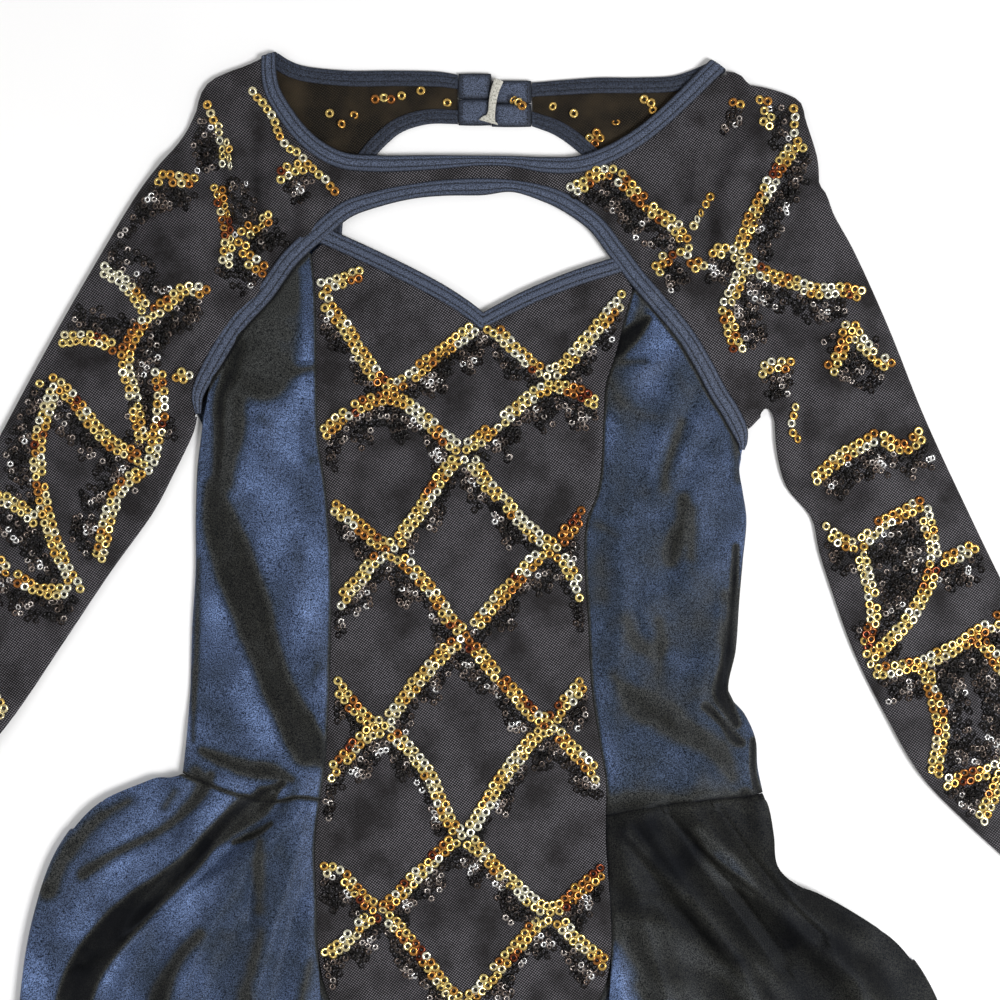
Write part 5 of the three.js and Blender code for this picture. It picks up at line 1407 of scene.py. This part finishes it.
def node(tree, kind, inputs=None, ramp=None, **settings):
    """Adds a node with its settings, values and links."""
    made = tree.nodes.new(kind)
    for key, value in settings.items():
        setattr(made, key, value)
    for socket, value in (inputs or {}).items():
        if isinstance(value, bpy.types.NodeSocket):
            tree.links.new(value, made.inputs[socket])
        else:
            made.inputs[socket].default_value = value
    if ramp:
        stops = made.color_ramp.elements
        while len(stops) < len(ramp):
            stops.new(1)
        for stop, (place, colour) in zip(stops, ramp):
            stop.position = place
            stop.color = (*colour, 1)
    return made


def new_material(name):
    """An empty material and its tree."""
    material = bpy.data.materials.new(name)
    material.use_nodes = True
    material.node_tree.nodes.clear()
    return material, material.node_tree


def shade(tree, **inputs):
    """The shader and the output; sockets are named with _ for a space."""
    named = {key.replace("_", " "): value for key, value in inputs.items()}
    shader = node(tree, "ShaderNodeBsdfPrincipled", named)
    node(tree, "ShaderNodeOutputMaterial", {"Surface": shader.outputs[0]})
    return shader


def scaled(tree, place, scale, turn=0.0):
    """Coordinates that are scaled and turned."""
    mapping = node(tree, "ShaderNodeMapping", {"Vector": place})
    mapping.inputs["Scale"].default_value = scale if hasattr(scale, "__len__") else (scale,) * 3
    mapping.inputs["Rotation"].default_value = (0, 0, turn)
    return mapping.outputs[0]


def satin_material():
    """Stretch satin, warp-knitted nylon with the bright side out: its ground is an olive black. The grainy blue
    sheen of its float threads, and the shade where they are out of the light, are painted into its colour from
    the sheen attribute."""
    colours = bpy.context.scene.biketard_colours
    material, tree = new_material("stretch_satin")
    place = node(tree, "ShaderNodeTexCoord").outputs["Object"]
    painted_sheen = node(tree, "ShaderNodeAttribute", attribute_name="sheen").outputs["Fac"]
    # painted sheen: a slow noise raises and lowers the painted sheen a little every few centimetres
    sheen_mottle = node(tree, "ShaderNodeTexNoise", {"Vector": place, "Scale": 38.0, "Detail": 2.0, "Roughness": 0.6})
    sheen_drift = node(
        tree, "ShaderNodeMapRange",
        {"Value": sheen_mottle.outputs[0], "From Min": 0.3, "From Max": 0.7, "To Min": -0.1, "To Max": 0.1},
    )
    total = node(tree, "ShaderNodeMath", {0: painted_sheen, 1: sheen_drift.outputs[0]}, operation="ADD", use_clamp=True)
    sheen = total.outputs[0]
    # painted sheen and painted shade: the base colour runs from the shade deep in a fold to the bright sheen
    lit_and_shaded_tint = node(
        tree, "ShaderNodeValToRGB", {"Fac": sheen},
        ramp=[
            (0, colours.satin_deep_shade), (0.28, colours.satin_ground), (0.48, colours.satin_half_shaded),
            (0.64, colours.satin_dim), (0.8, colours.satin_lit), (1, colours.satin_bright),
        ],
    )
    # the float threads catch the light in grains 0.3 mm across, drawn at 0.7 mm, which shows
    grain = node(
        tree, "ShaderNodeTexNoise", {"Vector": place, "Scale": 1450.0, "Detail": 2.0, "Roughness": 0.8}
    )
    specks = node(
        tree, "ShaderNodeMapRange",
        {"Value": grain.outputs[0], "From Min": 0.38, "From Max": 0.66, "To Min": 0.0, "To Max": 2.75},
    )
    tint = node(
        tree, "ShaderNodeVectorMath", {0: lit_and_shaded_tint.outputs[0], "Scale": specks.outputs[0]}, operation="SCALE",
    )
    rough = node(tree, "ShaderNodeMapRange", {"Value": sheen, "To Min": 0.62, "To Max": 0.38})
    # knitted wales run down the garment; they are 0.45 mm apart and drawn at 0.9 mm, which shows
    wale = node(
        tree, "ShaderNodeTexWave", {"Vector": place, "Scale": 350.0, "Distortion": 0.8, "Detail": 1.0},
        wave_type="BANDS", bands_direction="X",
    )
    part = node(tree, "ShaderNodeMath", {0: wale.outputs["Fac"], 1: 0.25}, operation="MULTIPLY")
    bumps = node(tree, "ShaderNodeMath", {0: grain.outputs[0], 1: part.outputs[0]}, operation="ADD")
    bump = node(tree, "ShaderNodeBump", {"Height": bumps.outputs[0], "Strength": 0.55, "Distance": 0.0002})
    shade(
        tree, Base_Color=tint.outputs[0], Roughness=rough.outputs[0], IOR=1.45, Specular_IOR_Level=0.22,
        Specular_Tint=(*colours.satin_sheen, 1), Normal=bump.outputs[0],
    )
    return material


def net_material(name, thread, hole, mottle_tone):
    """Sheer stretch net, warp-knitted polyester: fine matt threads round small holes that
    let a little of what lies beneath show."""
    material, tree = new_material(name)
    place = node(tree, "ShaderNodeTexCoord").outputs["Object"]
    # the net's holes are 0.6 mm apart and drawn at 1.2 mm, which shows
    waves = [
        node(
            tree, "ShaderNodeTexWave",
            {"Vector": scaled(tree, place, 1.0, turn), "Scale": 256.0, "Distortion": 0.6},
            wave_type="BANDS", bands_direction="X",
        ).outputs["Fac"]
        for turn in (math.radians(38), math.radians(-58))
    ]
    weave = node(tree, "ShaderNodeMath", {0: waves[0], 1: waves[1]}, operation="MULTIPLY")
    grain = node(tree, "ShaderNodeTexNoise", {"Vector": place, "Scale": 1300.0, "Detail": 2.0})
    cloud = node(tree, "ShaderNodeTexNoise", {"Vector": place, "Scale": 45.0, "Detail": 3.0})
    spread = node(tree, "ShaderNodeMath", {0: grain.outputs[0], 1: 0.7}, operation="MULTIPLY")
    mesh = node(tree, "ShaderNodeMath", {0: weave.outputs[0], 1: spread.outputs[0]}, operation="ADD")
    tint = node(tree, "ShaderNodeValToRGB", {"Fac": mesh.outputs[0]}, ramp=[(0.48, hole), (1, thread)])
    # partly painted shade: slow patches darken the net towards the mottle colour in place of its folds, partly
    # a warm change of tone
    share = node(
        tree, "ShaderNodeMapRange",
        {"Value": cloud.outputs[0], "From Min": 0.4, "From Max": 0.68, "To Max": 0.75},
    )
    tone = node(tree, "ShaderNodeMix", data_type="RGBA")
    factor, first, second = (s for s in tone.inputs if s.enabled)
    tree.links.new(share.outputs[0], factor)
    tree.links.new(tint.outputs[0], first)
    second.default_value = (*mottle_tone, 1)
    out = next(s for s in tone.outputs if s.enabled)
    see = node(tree, "ShaderNodeMapRange", {"Value": weave.outputs[0], "To Min": 1.0, "To Max": 0.8})
    bump = node(tree, "ShaderNodeBump", {"Height": weave.outputs[0], "Strength": 0.6, "Distance": -0.0003})
    shade(
        tree, Base_Color=out, Roughness=0.55, Alpha=see.outputs[0], Normal=bump.outputs[0],
        Specular_IOR_Level=0.12,
    )
    return material


def binding_material():
    """Navy binding tape, knitted nylon folded dull side out: matt and grainy, in the shade at
    its edges and in its rows of stitches."""
    colours = bpy.context.scene.biketard_colours
    material, tree = new_material("knitted_binding")
    place = node(tree, "ShaderNodeTexCoord").outputs["Object"]
    grain = node(
        tree, "ShaderNodeTexNoise", {"Vector": place, "Scale": 1700.0, "Detail": 2.0, "Roughness": 0.7}
    )
    sheen = node(tree, "ShaderNodeAttribute", attribute_name="sheen").outputs["Fac"]
    specks = node(
        tree, "ShaderNodeMapRange",
        {"Value": grain.outputs[0], "From Min": 0.36, "From Max": 0.68, "To Min": 0.15, "To Max": 2.1},
    )
    # painted shade: the face runs from the edge shade to the lit colour by the painted tone
    face = node(
        tree, "ShaderNodeValToRGB", {"Fac": sheen}, ramp=[(0.1, colours.binding_edge_shade), (1, colours.binding_lit)]
    )
    tint = node(
        tree, "ShaderNodeVectorMath", {0: face.outputs[0], "Scale": specks.outputs[0]}, operation="SCALE",
    )
    bump = node(tree, "ShaderNodeBump", {"Height": grain.outputs[0], "Strength": 0.5, "Distance": 0.0003})
    shade(
        tree, Base_Color=tint.outputs[0], Roughness=0.55, Specular_IOR_Level=0.2, Normal=bump.outputs[0],
    )
    return material


def sequin_material(name, ramp, metallic, rough, coat):
    """PET film sequins, metallised and pressed to a cup: a bright hard gloss that differs
    from one to the next."""
    material, tree = new_material(name)
    tone = node(tree, "ShaderNodeAttribute", attribute_name="tone", attribute_type="GEOMETRY")
    tint = node(tree, "ShaderNodeValToRGB", {"Fac": tone.outputs["Fac"]}, ramp=ramp)
    shade(
        tree, Base_Color=tint.outputs[0], Metallic=metallic, Roughness=rough,
        Coat_Weight=coat, Coat_Roughness=0.08,
    )
    return material


def film(*stops):
    """A ramp of film colours from pairs of a tone and an sRGB hex value."""
    return [(tone, linear(hexcode)) for tone, hexcode in stops]


def thread_material():
    """Sewing thread, spun polyester: matt and darker than the binding it sits in."""
    colours = bpy.context.scene.biketard_colours
    material, tree = new_material("sewing_thread")
    place = node(tree, "ShaderNodeTexCoord").outputs["Object"]
    grain = node(tree, "ShaderNodeTexNoise", {"Vector": place, "Scale": 3000.0})
    tint = node(
        tree, "ShaderNodeValToRGB", {"Fac": grain.outputs[0]},
        ramp=[(0.3, (0.001, 0.0012, 0.002)), (0.7, colours.thread)],
    )
    shade(tree, Base_Color=tint.outputs[0], Roughness=0.8)
    return material


def clasp_material():
    """Milky clear acetal, injection moulded: light passes through its edges and it keeps a
    soft gloss with a few scuffs."""
    material, tree = new_material("moulded_acetal")
    place = node(tree, "ShaderNodeTexCoord").outputs["Object"]
    scuff = node(tree, "ShaderNodeTexNoise", {"Vector": place, "Scale": 900.0, "Detail": 4.0})
    tint = node(
        tree, "ShaderNodeValToRGB", {"Fac": scuff.outputs[0]},
        ramp=[(0.35, linear("#b9b7ac")), (0.65, linear("#e6e4da"))],
    )
    rough = node(tree, "ShaderNodeMapRange", {"Value": scuff.outputs[0], "To Min": 0.15, "To Max": 0.45})
    shade(tree, Base_Color=tint.outputs[0], Roughness=rough.outputs[0], Transmission_Weight=0.25, IOR=1.48)
    return material


def floor_material():
    """Matt white board, rolled paint: an even pale ground."""
    material, tree = new_material("white_board")
    place = node(tree, "ShaderNodeTexCoord").outputs["Object"]
    mottle = node(tree, "ShaderNodeTexNoise", {"Vector": place, "Scale": 6.0})
    tint = node(
        tree, "ShaderNodeValToRGB", {"Fac": mottle.outputs[0]},
        ramp=[(0.3, linear("#fafafb")), (0.7, linear("#ffffff"))],
    )
    shade(tree, Base_Color=tint.outputs[0], Roughness=0.9)
    return material


MATERIALS = {}


def made_of(name):
    """A material by its name, made once."""
    if name not in MATERIALS:
        colours = bpy.context.scene.biketard_colours
        makers = {
            "satin": satin_material,
            "net": lambda: net_material("sheer_net", colours.net_thread, colours.net_hole, colours.net_mottle_shade),
            "net_inside": lambda: net_material(
                "sheer_net_inside", colours.inside_thread, colours.net_hole, colours.inside_thread
            ),
            "binding": binding_material,
            "gold": lambda: sequin_material(
                "gold_film",
                film((0.0, "#7a3a20"), (0.2, "#bd7c3c"), (0.4, "#e6b45a"), (0.7, "#f9e08e"), (1.0, "#fffce4")),
                0.85, 0.22, 0.2,
            ),
            "black": lambda: sequin_material(
                "black_film",
                film((0.0, "#050304"), (0.35, "#1c1613"), (0.58, "#6c5e56"), (0.8, "#bdb4ae"),
                    (1.0, "#ffffff")),
                0.9, 0.25, 0.4,
            ),
            "thread": thread_material,
            "clasp": clasp_material,
            "floor": floor_material,
        }
        MATERIALS[name] = makers[name]()
    return MATERIALS[name]


# Settings


def distance(name, description, metres):
    """A length setting."""
    return bpy.props.FloatProperty(name=name, description=description, default=metres, unit="LENGTH")


class BiketardCloth(bpy.types.PropertyGroup):
    """Walls of the cloth, and how deep its creases are"""

    satin_wall: distance("Satin", "Thickness of the satin", 0.0006)
    net_wall: distance("Net", "Thickness of the net", 0.0005)
    crease: bpy.props.FloatProperty(
        name="Creases", description="Depth of the small creases", default=1.5, subtype="FACTOR", min=0, max=3
    )


class BiketardSequins(bpy.types.PropertyGroup):
    """Sizes and spacing of the sequins"""

    gold_across: distance("Gold", "Gold sequin, across", 0.0054)
    gold_hole: distance("Gold hole", "Its hole, across", 0.0017)
    gold_pitch: distance("Gold pitch", "Spacing along a line", 0.0043)
    black_across: distance("Black", "Black sequin, across", 0.0042)
    black_hole: distance("Black hole", "Its hole, across", 0.0014)
    black_pitch: distance("Black pitch", "Spacing in a band", 0.0023)
    black_band: distance("Black band", "Width of a band", 0.018)


def colour(name, description, hexcode):
    """A colour setting."""
    return bpy.props.FloatVectorProperty(
        name=name, description=description, default=linear(hexcode), subtype="COLOR", size=3, min=0, max=1
    )


class BiketardColours(bpy.types.PropertyGroup):
    """Colours of the cloth, the bindings and the thread"""

    # painted sheen and painted shade: lit and shaded copies of the satin's colour, chosen by its painted sheen
    satin_bright: colour("Satin, bright", "Satin whose threads catch the light fully", "#56678a")
    satin_lit: colour("Satin, lit", "Satin that lies flat", "#38435a")
    satin_dim: colour("Satin, dim", "Satin that throws little light back", "#29313e")
    satin_half_shaded: colour("Satin, turned", "Satin half out of the light", "#2e2f2e")
    satin_ground: colour("Satin, ground", "Olive black ground of the satin", "#1e1e1b")
    satin_deep_shade: colour("Satin, deep", "Satin in the depth of a fold", "#060606")
    satin_sheen: colour("Satin sheen", "Tint of the satin's gloss", "#b4bdd0")
    net_thread: colour("Net thread", "Threads of the net", "#7b787f")
    net_hole: colour("Net hole", "Shade in the net's holes", "#060606")
    # partly painted shade: slow dark patches of the net in place of its folds, partly warm changes of its tone
    net_mottle_shade: colour("Net glow", "Slow warm changes of the net", "#0f0c0b")
    inside_thread: colour("Net inside", "Net seen from the inside", "#3a3124")
    # painted shade: the binding is lit in its middle and painted darker at its edges
    binding_lit: colour("Binding, lit", "Binding where it catches the light", "#474f61")
    binding_edge_shade: colour("Binding, deep", "Binding at its edges", "#0c0e13")
    thread: colour("Thread", "Sewing thread", "#080a11")


# Operators


class Sewn:
    """What every piece's operator has in common."""

    bl_options = {"REGISTER", "UNDO"}


class BIKETARD_OT_centre_front(Sewn, bpy.types.Operator):
    """Adds the net centre front"""

    bl_idname = "biketard.centre_front"
    bl_label = "Centre front"

    def execute(self, context):
        grid = raised(centre_front_plan(), centre_height)
        piece = cloth("centre_front_net", grid, context.scene.biketard_cloth.net_wall)
        finish_piece(piece, "sequin_mesh", made_of("net"), replaces=["centre_front"])
        return {"FINISHED"}


class BIKETARD_OT_side_fronts(Sewn, bpy.types.Operator):
    """Adds the two satin side fronts"""

    bl_idname = "biketard.side_fronts"
    bl_label = "Side fronts"

    def execute(self, context):
        plans = {
            "left": (SIDE_LEFT, PANEL_LEFT, PANEL_HIP["left"], -1, ((-165.5, 74), (-112, 143.6)), HIP_LEFT, 1),
            "right": (SIDE_RIGHT, PANEL_RIGHT, PANEL_HIP["right"], 1, ((135, 42), (81, 122.4)), HIP_RIGHT, -1),
        }
        for hand, plan in plans.items():
            grid = side_front_grid(*plan)
            piece = satin_cloth(f"side_front_satin_{hand}", grid)
            finish_piece(piece, "navy_satin", made_of("satin"), replaces=[f"side_front_{hand}"])
        return {"FINISHED"}


class BIKETARD_OT_back(Sewn, bpy.types.Operator):
    """Adds the satin back"""

    bl_idname = "biketard.back"
    bl_label = "Back"

    def execute(self, context):
        sheets = [
            satin_cloth(f"back_{n}", raised(plan, back_height))
            for n, plan in enumerate(back_plans())
        ]
        alone()
        for sheet in sheets:
            sheet.select_set(True)
        bpy.context.view_layer.objects.active = sheets[2]
        bpy.ops.object.join()
        piece = sheets[2]
        piece.name = piece.data.name = "back_satin"
        finish_piece(piece, "navy_satin", made_of("satin"), replaces=["back"])
        return {"FINISHED"}


class BIKETARD_OT_yokes(Sewn, bpy.types.Operator):
    """Adds the two net sleeves, each cut in one with its half of the yoke"""

    bl_idname = "biketard.yokes"
    bl_label = "Yoke and sleeves"

    def execute(self, context):
        for hand, lines in YOKE_LINES.items():
            grid, gaps, _ = yoke_sleeve_grid(lines)
            piece = cloth(f"yoke_sleeve_net_{hand}", grid, context.scene.biketard_cloth.net_wall, gaps)
            finish_piece(
                piece, "sequin_mesh", made_of("net"), made_of("net_inside"), replaces=[f"yoke_sleeve_{hand}"]
            )
            for face in piece.data.polygons:
                if face.center.z < INSIDE_BELOW * MM and face.normal.z > 0.5:
                    face.material_index = 1
        return {"FINISHED"}


class BIKETARD_OT_legs(Sewn, bpy.types.Operator):
    """Adds the two bike-short legs"""

    bl_idname = "biketard.legs"
    bl_label = "Legs"

    def execute(self, context):
        plans = {
            "left": (INSEAM_LEFT, LEG_SIDE_LEFT, PANEL_LEFT, PANEL_HIP["left"], -1),
            "right": (INSEAM_RIGHT, LEG_SIDE_RIGHT, PANEL_RIGHT, PANEL_HIP["right"], 1),
        }
        for hand, plan in plans.items():
            grid, gaps = leg_grid(*plan)
            piece = satin_cloth(f"leg_satin_{hand}", grid, gaps)
            finish_piece(piece, "navy_satin", made_of("satin"), replaces=[f"leg_{hand}"])
        return {"FINISHED"}


class BIKETARD_OT_skirts(Sewn, bpy.types.Operator):
    """Adds the two flared side skirts"""

    bl_idname = "biketard.skirts"
    bl_label = "Side skirts"

    def execute(self, context):
        plans = {
            "left": (HIP_LEFT, -1, SKIRT_HEM_LEFT, SKIRT_EDGE_LEFT, -1, SKIRT_FOLD_LEFT),
            "right": (HIP_RIGHT, 1, SKIRT_HEM_RIGHT, SKIRT_EDGE_RIGHT, 1, SKIRT_FOLD_RIGHT),
        }
        for hand, plan in plans.items():
            grid, gaps = skirt_grid(*plan)
            piece = satin_cloth(f"skirt_satin_{hand}", grid, gaps)
            finish_piece(piece, "navy_satin", made_of("satin"), replaces=[f"skirt_{hand}"])
        return {"FINISHED"}


class BIKETARD_OT_bindings(Sewn, bpy.types.Operator):
    """Adds the four bindings and their stitches"""

    bl_idname = "biketard.bindings"
    bl_label = "Bindings"

    def execute(self, context):
        ribbons = {
            "arch_binding": (Ribbon.along(ARCH, front_height, UP), (1,)),
            "neck_binding": (neck_ribbon(), (1, -1)),
            "sweetheart_binding": (sweetheart_ribbon(), (1,)),
            "keyhole_binding": (keyhole_ribbon(), (1, -1)),
        }
        master = thread_stitch()
        for name, (ribbon, faces) in ribbons.items():
            piece = swept(f"{name}_tape", ribbon, BINDING * (0.85 if name == "sweetheart_binding" else 1))
            finish_piece(piece, "navy_binding", made_of("binding"), replaces=[name])
            at, out, way = stitch_places(ribbon, faces)
            stitches = copies(f"{name}_stitches", master, at, turned_to(out, way))
            finish_piece(stitches, "thread", made_of("thread"))
        bpy.data.objects.remove(master)
        return {"FINISHED"}


class BIKETARD_OT_clasp(Sewn, bpy.types.Operator):
    """Adds the clasp and the four turned-back tabs that hold it"""

    bl_idname = "biketard.clasp"
    bl_label = "Clasp and tabs"

    def execute(self, context):
        for name, (left, right, low, high) in TABS.items():
            alone()
            size = (right - left + TAB_SPREAD, high - low + TAB_SPREAD, TAB)
            middle = ((left + right) / 2, (low + high) / 2, TAB / 2)
            bpy.ops.mesh.primitive_cube_add(size=MM, location=[c * MM for c in middle])
            piece = bpy.context.object
            piece.name = piece.data.name = f"{name}_tape"
            bpy.ops.object.mode_set(mode="EDIT")
            bpy.ops.mesh.select_all(action="SELECT")
            bpy.ops.transform.resize(value=size)
            bpy.ops.mesh.subdivide(number_cuts=9)
            bpy.ops.object.mode_set(mode="OBJECT")
            bpy.ops.object.transform_apply(location=True, rotation=True, scale=True)
            self.pillow(piece, middle, size)
            bpy.ops.object.shade_smooth_by_angle(angle=math.radians(60))
            finish_piece(piece, "navy_binding", made_of("binding"), replaces=[name])
        self.stitch_tabs()
        level = TAB + CLASP["gap"] + CLASP["thick"] / 2
        ribbon = Ribbon.along(CLASP_PATH, lambda x, y: np.full(np.shape(x), level), UP, pitch=0.6)
        half = np.linspace(0, 2 * np.pi, 17)[:-1]
        oval = [(self.squared(math.cos(a)), 0.5 * self.squared(math.sin(a))) for a in half]
        piece = swept("clasp_moulding", ribbon, CLASP["thick"], oval)
        finish_piece(piece, "clear_clasp", made_of("clasp"), replaces=["clasp"])
        return {"FINISHED"}

    @staticmethod
    def squared(share):
        """A circle's share, moved out so that the outline is rather a rounded square."""
        return math.copysign(abs(share) ** 0.7, share)

    @staticmethod
    def pillow(piece, middle, size):
        """Rounds a block to a stuffed lobe: its rim comes in and its faces dip at the stitches."""
        centre = Vector([c * MM for c in middle])
        half = Vector([s * MM / 2 for s in size])
        rims = [
            max(abs(v.co.x - centre.x) / half.x, abs(v.co.y - centre.y) / half.y) for v in piece.data.vertices
        ]
        # painted shade: the tab's colour darkens towards its rim
        with_value(piece, "sheen", 1 - 0.75 * ramp((0.6, 1), np.array(rims)))
        for vertex in piece.data.vertices:
            x, y, z = ((vertex.co - centre)[i] / half[i] for i in range(3))
            rim = max(abs(x), abs(y))
            swell = 1 - 0.45 * max(0, (rim - 0.55) / 0.45) ** 2
            pull = 1 - 0.05 * z * z - 0.035 * (x * y) ** 2
            vertex.co = centre + Vector((x * half.x * pull, y * half.y * pull, z * half.z * swell))

    @staticmethod
    def stitch_tabs():
        """Sews a column of stitches on each tab."""
        master = thread_stitch()
        at = []
        for name, (left, right, low, high) in TABS.items():
            column = left + 2.2 if "left" in name else right - 2.2
            for y in np.arange(low + 1.6, high - 1.2, 2.1):
                at.append((column, y, TAB - 0.28))
        at = np.array(at)
        up = np.tile((0.0, 0, 1), (len(at), 1))
        stitches = copies("tab_stitches", master, at, turned_to(up, np.tile((0.0, 1, 0), (len(at), 1))))
        finish_piece(stitches, "thread", made_of("thread"))
        bpy.data.objects.remove(master)


# Least distances of a sequin: gold and black from the panel's edge, black from gold
CLEAR = {"gold": 3.6, "black": 3.2, "apart": 2.9}


class BIKETARD_OT_sequins(Sewn, bpy.types.Operator):
    """Sews the gold and black sequins on the net"""

    bl_idname = "biketard.sequins"
    bl_label = "Sequins"

    def execute(self, context):
        sizes = context.scene.biketard_sequins
        rng = np.random.default_rng(11)
        gold = sequin("gold_sequin", sizes.gold_across, sizes.gold_hole, 0.0004, 0.0005, 10, 4)
        black = sequin("black_sequin", sizes.black_across, sizes.black_hole, 0.0003, 0.0004, 6, 3)
        centre = centre_front_plan()
        outline = np.vstack((centre[0], centre[1:, -1], centre[-1, -2::-1], centre[-2:0:-1, 0]))
        areas = {"centre": (outline, centre_height, [(row, 2, 0) for row in GOLD_ROWS + GOLD_EXTRA])}
        for hand, lines in (("left", GOLD_LEFT), ("right", GOLD_RIGHT)):
            plan = yoke_sleeve_grid(YOKE_LINES[hand])[2]
            areas[hand] = (np.vstack((plan[:, 0], plan[::-1, -1])), front_height, lines)
        for area, (polygon, height, lines) in areas.items():
            places = gold_places(lines, rng)
            places = places[well_inside(polygon, *places.T, CLEAR["gold"])]
            dark = black_below(GOLD_ROWS, rng) if area == "centre" else black_beside(lines, rng)
            dark = dark[well_inside(polygon, *dark.T, CLEAR["black"])]
            dark = dark[self.clear_of(dark, places, CLEAR["apart"])]
            tones = np.clip(tone_field(*places.T) + 0.08 + rng.normal(0, 0.2, len(places)), 0, 1)
            # painted glints: one gold sequin in twenty is painted at the palest tone
            tones[rng.random(len(places)) < 0.05] = 1
            piece = sewn_on(f"gold_sequins_{area}", places, height, gold, 0.75, 0.16, rng, tones)
            finish_piece(piece, "gold_sequins", made_of("gold"))
            # painted glints: in patches the black sequins are painted lighter, up to white
            tones = np.clip(rng.beta(1.2, 2.4, len(dark)) + 0.6 * glint_field(*dark.T) - 0.08, 0, 1)
            piece = sewn_on(f"black_sequins_{area}", dark, height, black, 0.62, 0.16, rng, tones)
            finish_piece(piece, "black_sequins", made_of("black"))
        self.glints(gold, rng)
        for master in (gold, black):
            bpy.data.objects.remove(master)
        return {"FINISHED"}

    @staticmethod
    def clear_of(places, others, nearest):
        """Which places are farther than so much from all the others."""
        kept = np.ones(len(places), bool)
        for i, (x, y) in enumerate(places):
            kept[i] = np.min(np.hypot(others[:, 0] - x, others[:, 1] - y)) > nearest
        return kept

    @staticmethod
    def glints(gold, rng):
        """The few sequins on the back yoke and on a tab."""
        places = np.array(GLINTS, float)
        tones = rng.random(len(places)) * 0.6 + 0.1
        piece = sewn_on("gold_sequins_back_yoke", places, back_height, gold, 0.45, 0.3, rng, tones)
        finish_piece(piece, "gold_sequins", made_of("gold"))
        caught = np.array(CURL)
        piece = sewn_on(
            "gold_sequins_tab", caught, lambda x, y: np.full(np.shape(x), TAB + 0.7), gold, 0.2, 0.6, rng,
            np.array((0.5, 0.6, 0.3)),
        )
        finish_piece(piece, "gold_sequins", made_of("gold"))


class BIKETARD_OT_stage(Sewn, bpy.types.Operator):
    """Adds the pale table, the lights and the camera"""

    bl_idname = "biketard.stage"
    bl_label = "Table, lights and camera"

    def execute(self, context):
        alone()
        bpy.ops.mesh.primitive_plane_add(size=8, location=(0, 0, -0.0002))
        table = bpy.context.object
        table.name = "table"
        bpy.ops.object.transform_apply(location=True)
        table.data.materials.append(made_of("floor"))
        world = bpy.data.worlds.new("soft_room")
        context.scene.world = world
        world.use_nodes = True
        tree = world.node_tree
        tree.nodes.clear()
        # a room that is darker overhead than round its walls
        way = node(tree, "ShaderNodeSeparateXYZ", {0: node(tree, "ShaderNodeTexCoord").outputs["Generated"]})
        height = node(
            tree, "ShaderNodeMapRange",
            {"Value": way.outputs["Z"], "From Min": 0.55, "From Max": 0.9, "To Min": WALLS, "To Max": OVERHEAD},
        )
        room = node(tree, "ShaderNodeBackground", {"Color": (1, 0.99, 0.97, 1), "Strength": height.outputs[0]})
        node(tree, "ShaderNodeOutputWorld", {"Surface": room.outputs[0]})
        context.scene.view_settings.view_transform = "Standard"
        for name, at, size, power in LIGHTS:
            bpy.ops.object.light_add(type="AREA", location=at)
            light = bpy.context.object
            light.name = name
            light.data.size = size
            light.data.energy = power
            light.rotation_euler = (Vector((0, 0, 0)) - Vector(at)).to_track_quat("-Z", "Y").to_euler()
        bpy.ops.object.camera_add(location=(0, 0, CAMERA["height"]), rotation=(0, 0, 0))
        camera = bpy.context.object
        camera.name = "camera_above"
        camera.data.lens = CAMERA["lens"]
        camera.data.sensor_width = CAMERA["sensor"]
        context.scene.camera = camera
        return {"FINISHED"}


# Columns: name, place, size across and power
LIGHTS = [
    ("window", (0.95, -0.5, 1.4), 0.6, 28),
    ("side_window", (-1.2, -0.1, 0.9), 0.8, 4),
]
WALLS, OVERHEAD = 0.62, 0.16  # brightness of the room round the table, and above it
PICTURE_WIDTH = 0.568  # metres of the table across the picture, level with the front
CAMERA = {"lens": 80.0, "sensor": 36.0}
CAMERA["height"] = PICTURE_WIDTH * CAMERA["lens"] / CAMERA["sensor"] + FRONT_LEVEL * MM


class BIKETARD_PT_panel(bpy.types.Panel):
    """Sizes, colours and pieces of the biketard"""

    bl_label = "Sequin biketard"
    bl_idname = "BIKETARD_PT_panel"
    bl_space_type = "VIEW_3D"
    bl_region_type = "UI"
    bl_category = "Biketard"

    def draw(self, context):
        for group in ("biketard_cloth", "biketard_sequins", "biketard_colours"):
            settings = getattr(context.scene, group)
            box = self.layout.box()
            for key in settings.__annotations__:
                box.prop(settings, key)
        for operator in OPERATORS:
            self.layout.operator(operator.bl_idname)


OPERATORS = [
    BIKETARD_OT_centre_front, BIKETARD_OT_side_fronts, BIKETARD_OT_back, BIKETARD_OT_yokes, BIKETARD_OT_legs,
    BIKETARD_OT_skirts, BIKETARD_OT_bindings, BIKETARD_OT_clasp, BIKETARD_OT_sequins, BIKETARD_OT_stage,
]
SETTINGS = {
    "biketard_cloth": BiketardCloth, "biketard_sequins": BiketardSequins, "biketard_colours": BiketardColours,
}


def register():
    """Registers the settings, the operators and the panel."""
    for group in SETTINGS.values():
        bpy.utils.register_class(group)
    for key, group in SETTINGS.items():
        setattr(bpy.types.Scene, key, bpy.props.PointerProperty(type=group))
    for operator in OPERATORS:
        bpy.utils.register_class(operator)
    bpy.utils.register_class(BIKETARD_PT_panel)


def unregister():
    """Takes them away again."""
    bpy.utils.unregister_class(BIKETARD_PT_panel)
    for operator in reversed(OPERATORS):
        bpy.utils.unregister_class(operator)
    for key, group in SETTINGS.items():
        delattr(bpy.types.Scene, key)
        bpy.utils.unregister_class(group)


def main():
    """Builds the whole scene."""
    register()
    bpy.ops.biketard.stage()
    bpy.ops.biketard.back()
    bpy.ops.biketard.legs()
    bpy.ops.biketard.skirts()
    bpy.ops.biketard.yokes()
    bpy.ops.biketard.side_fronts()
    bpy.ops.biketard.centre_front()
    bpy.ops.biketard.bindings()
    bpy.ops.biketard.clasp()
    bpy.ops.biketard.sequins()
    alone()


if __name__ == "__main__":
    main()
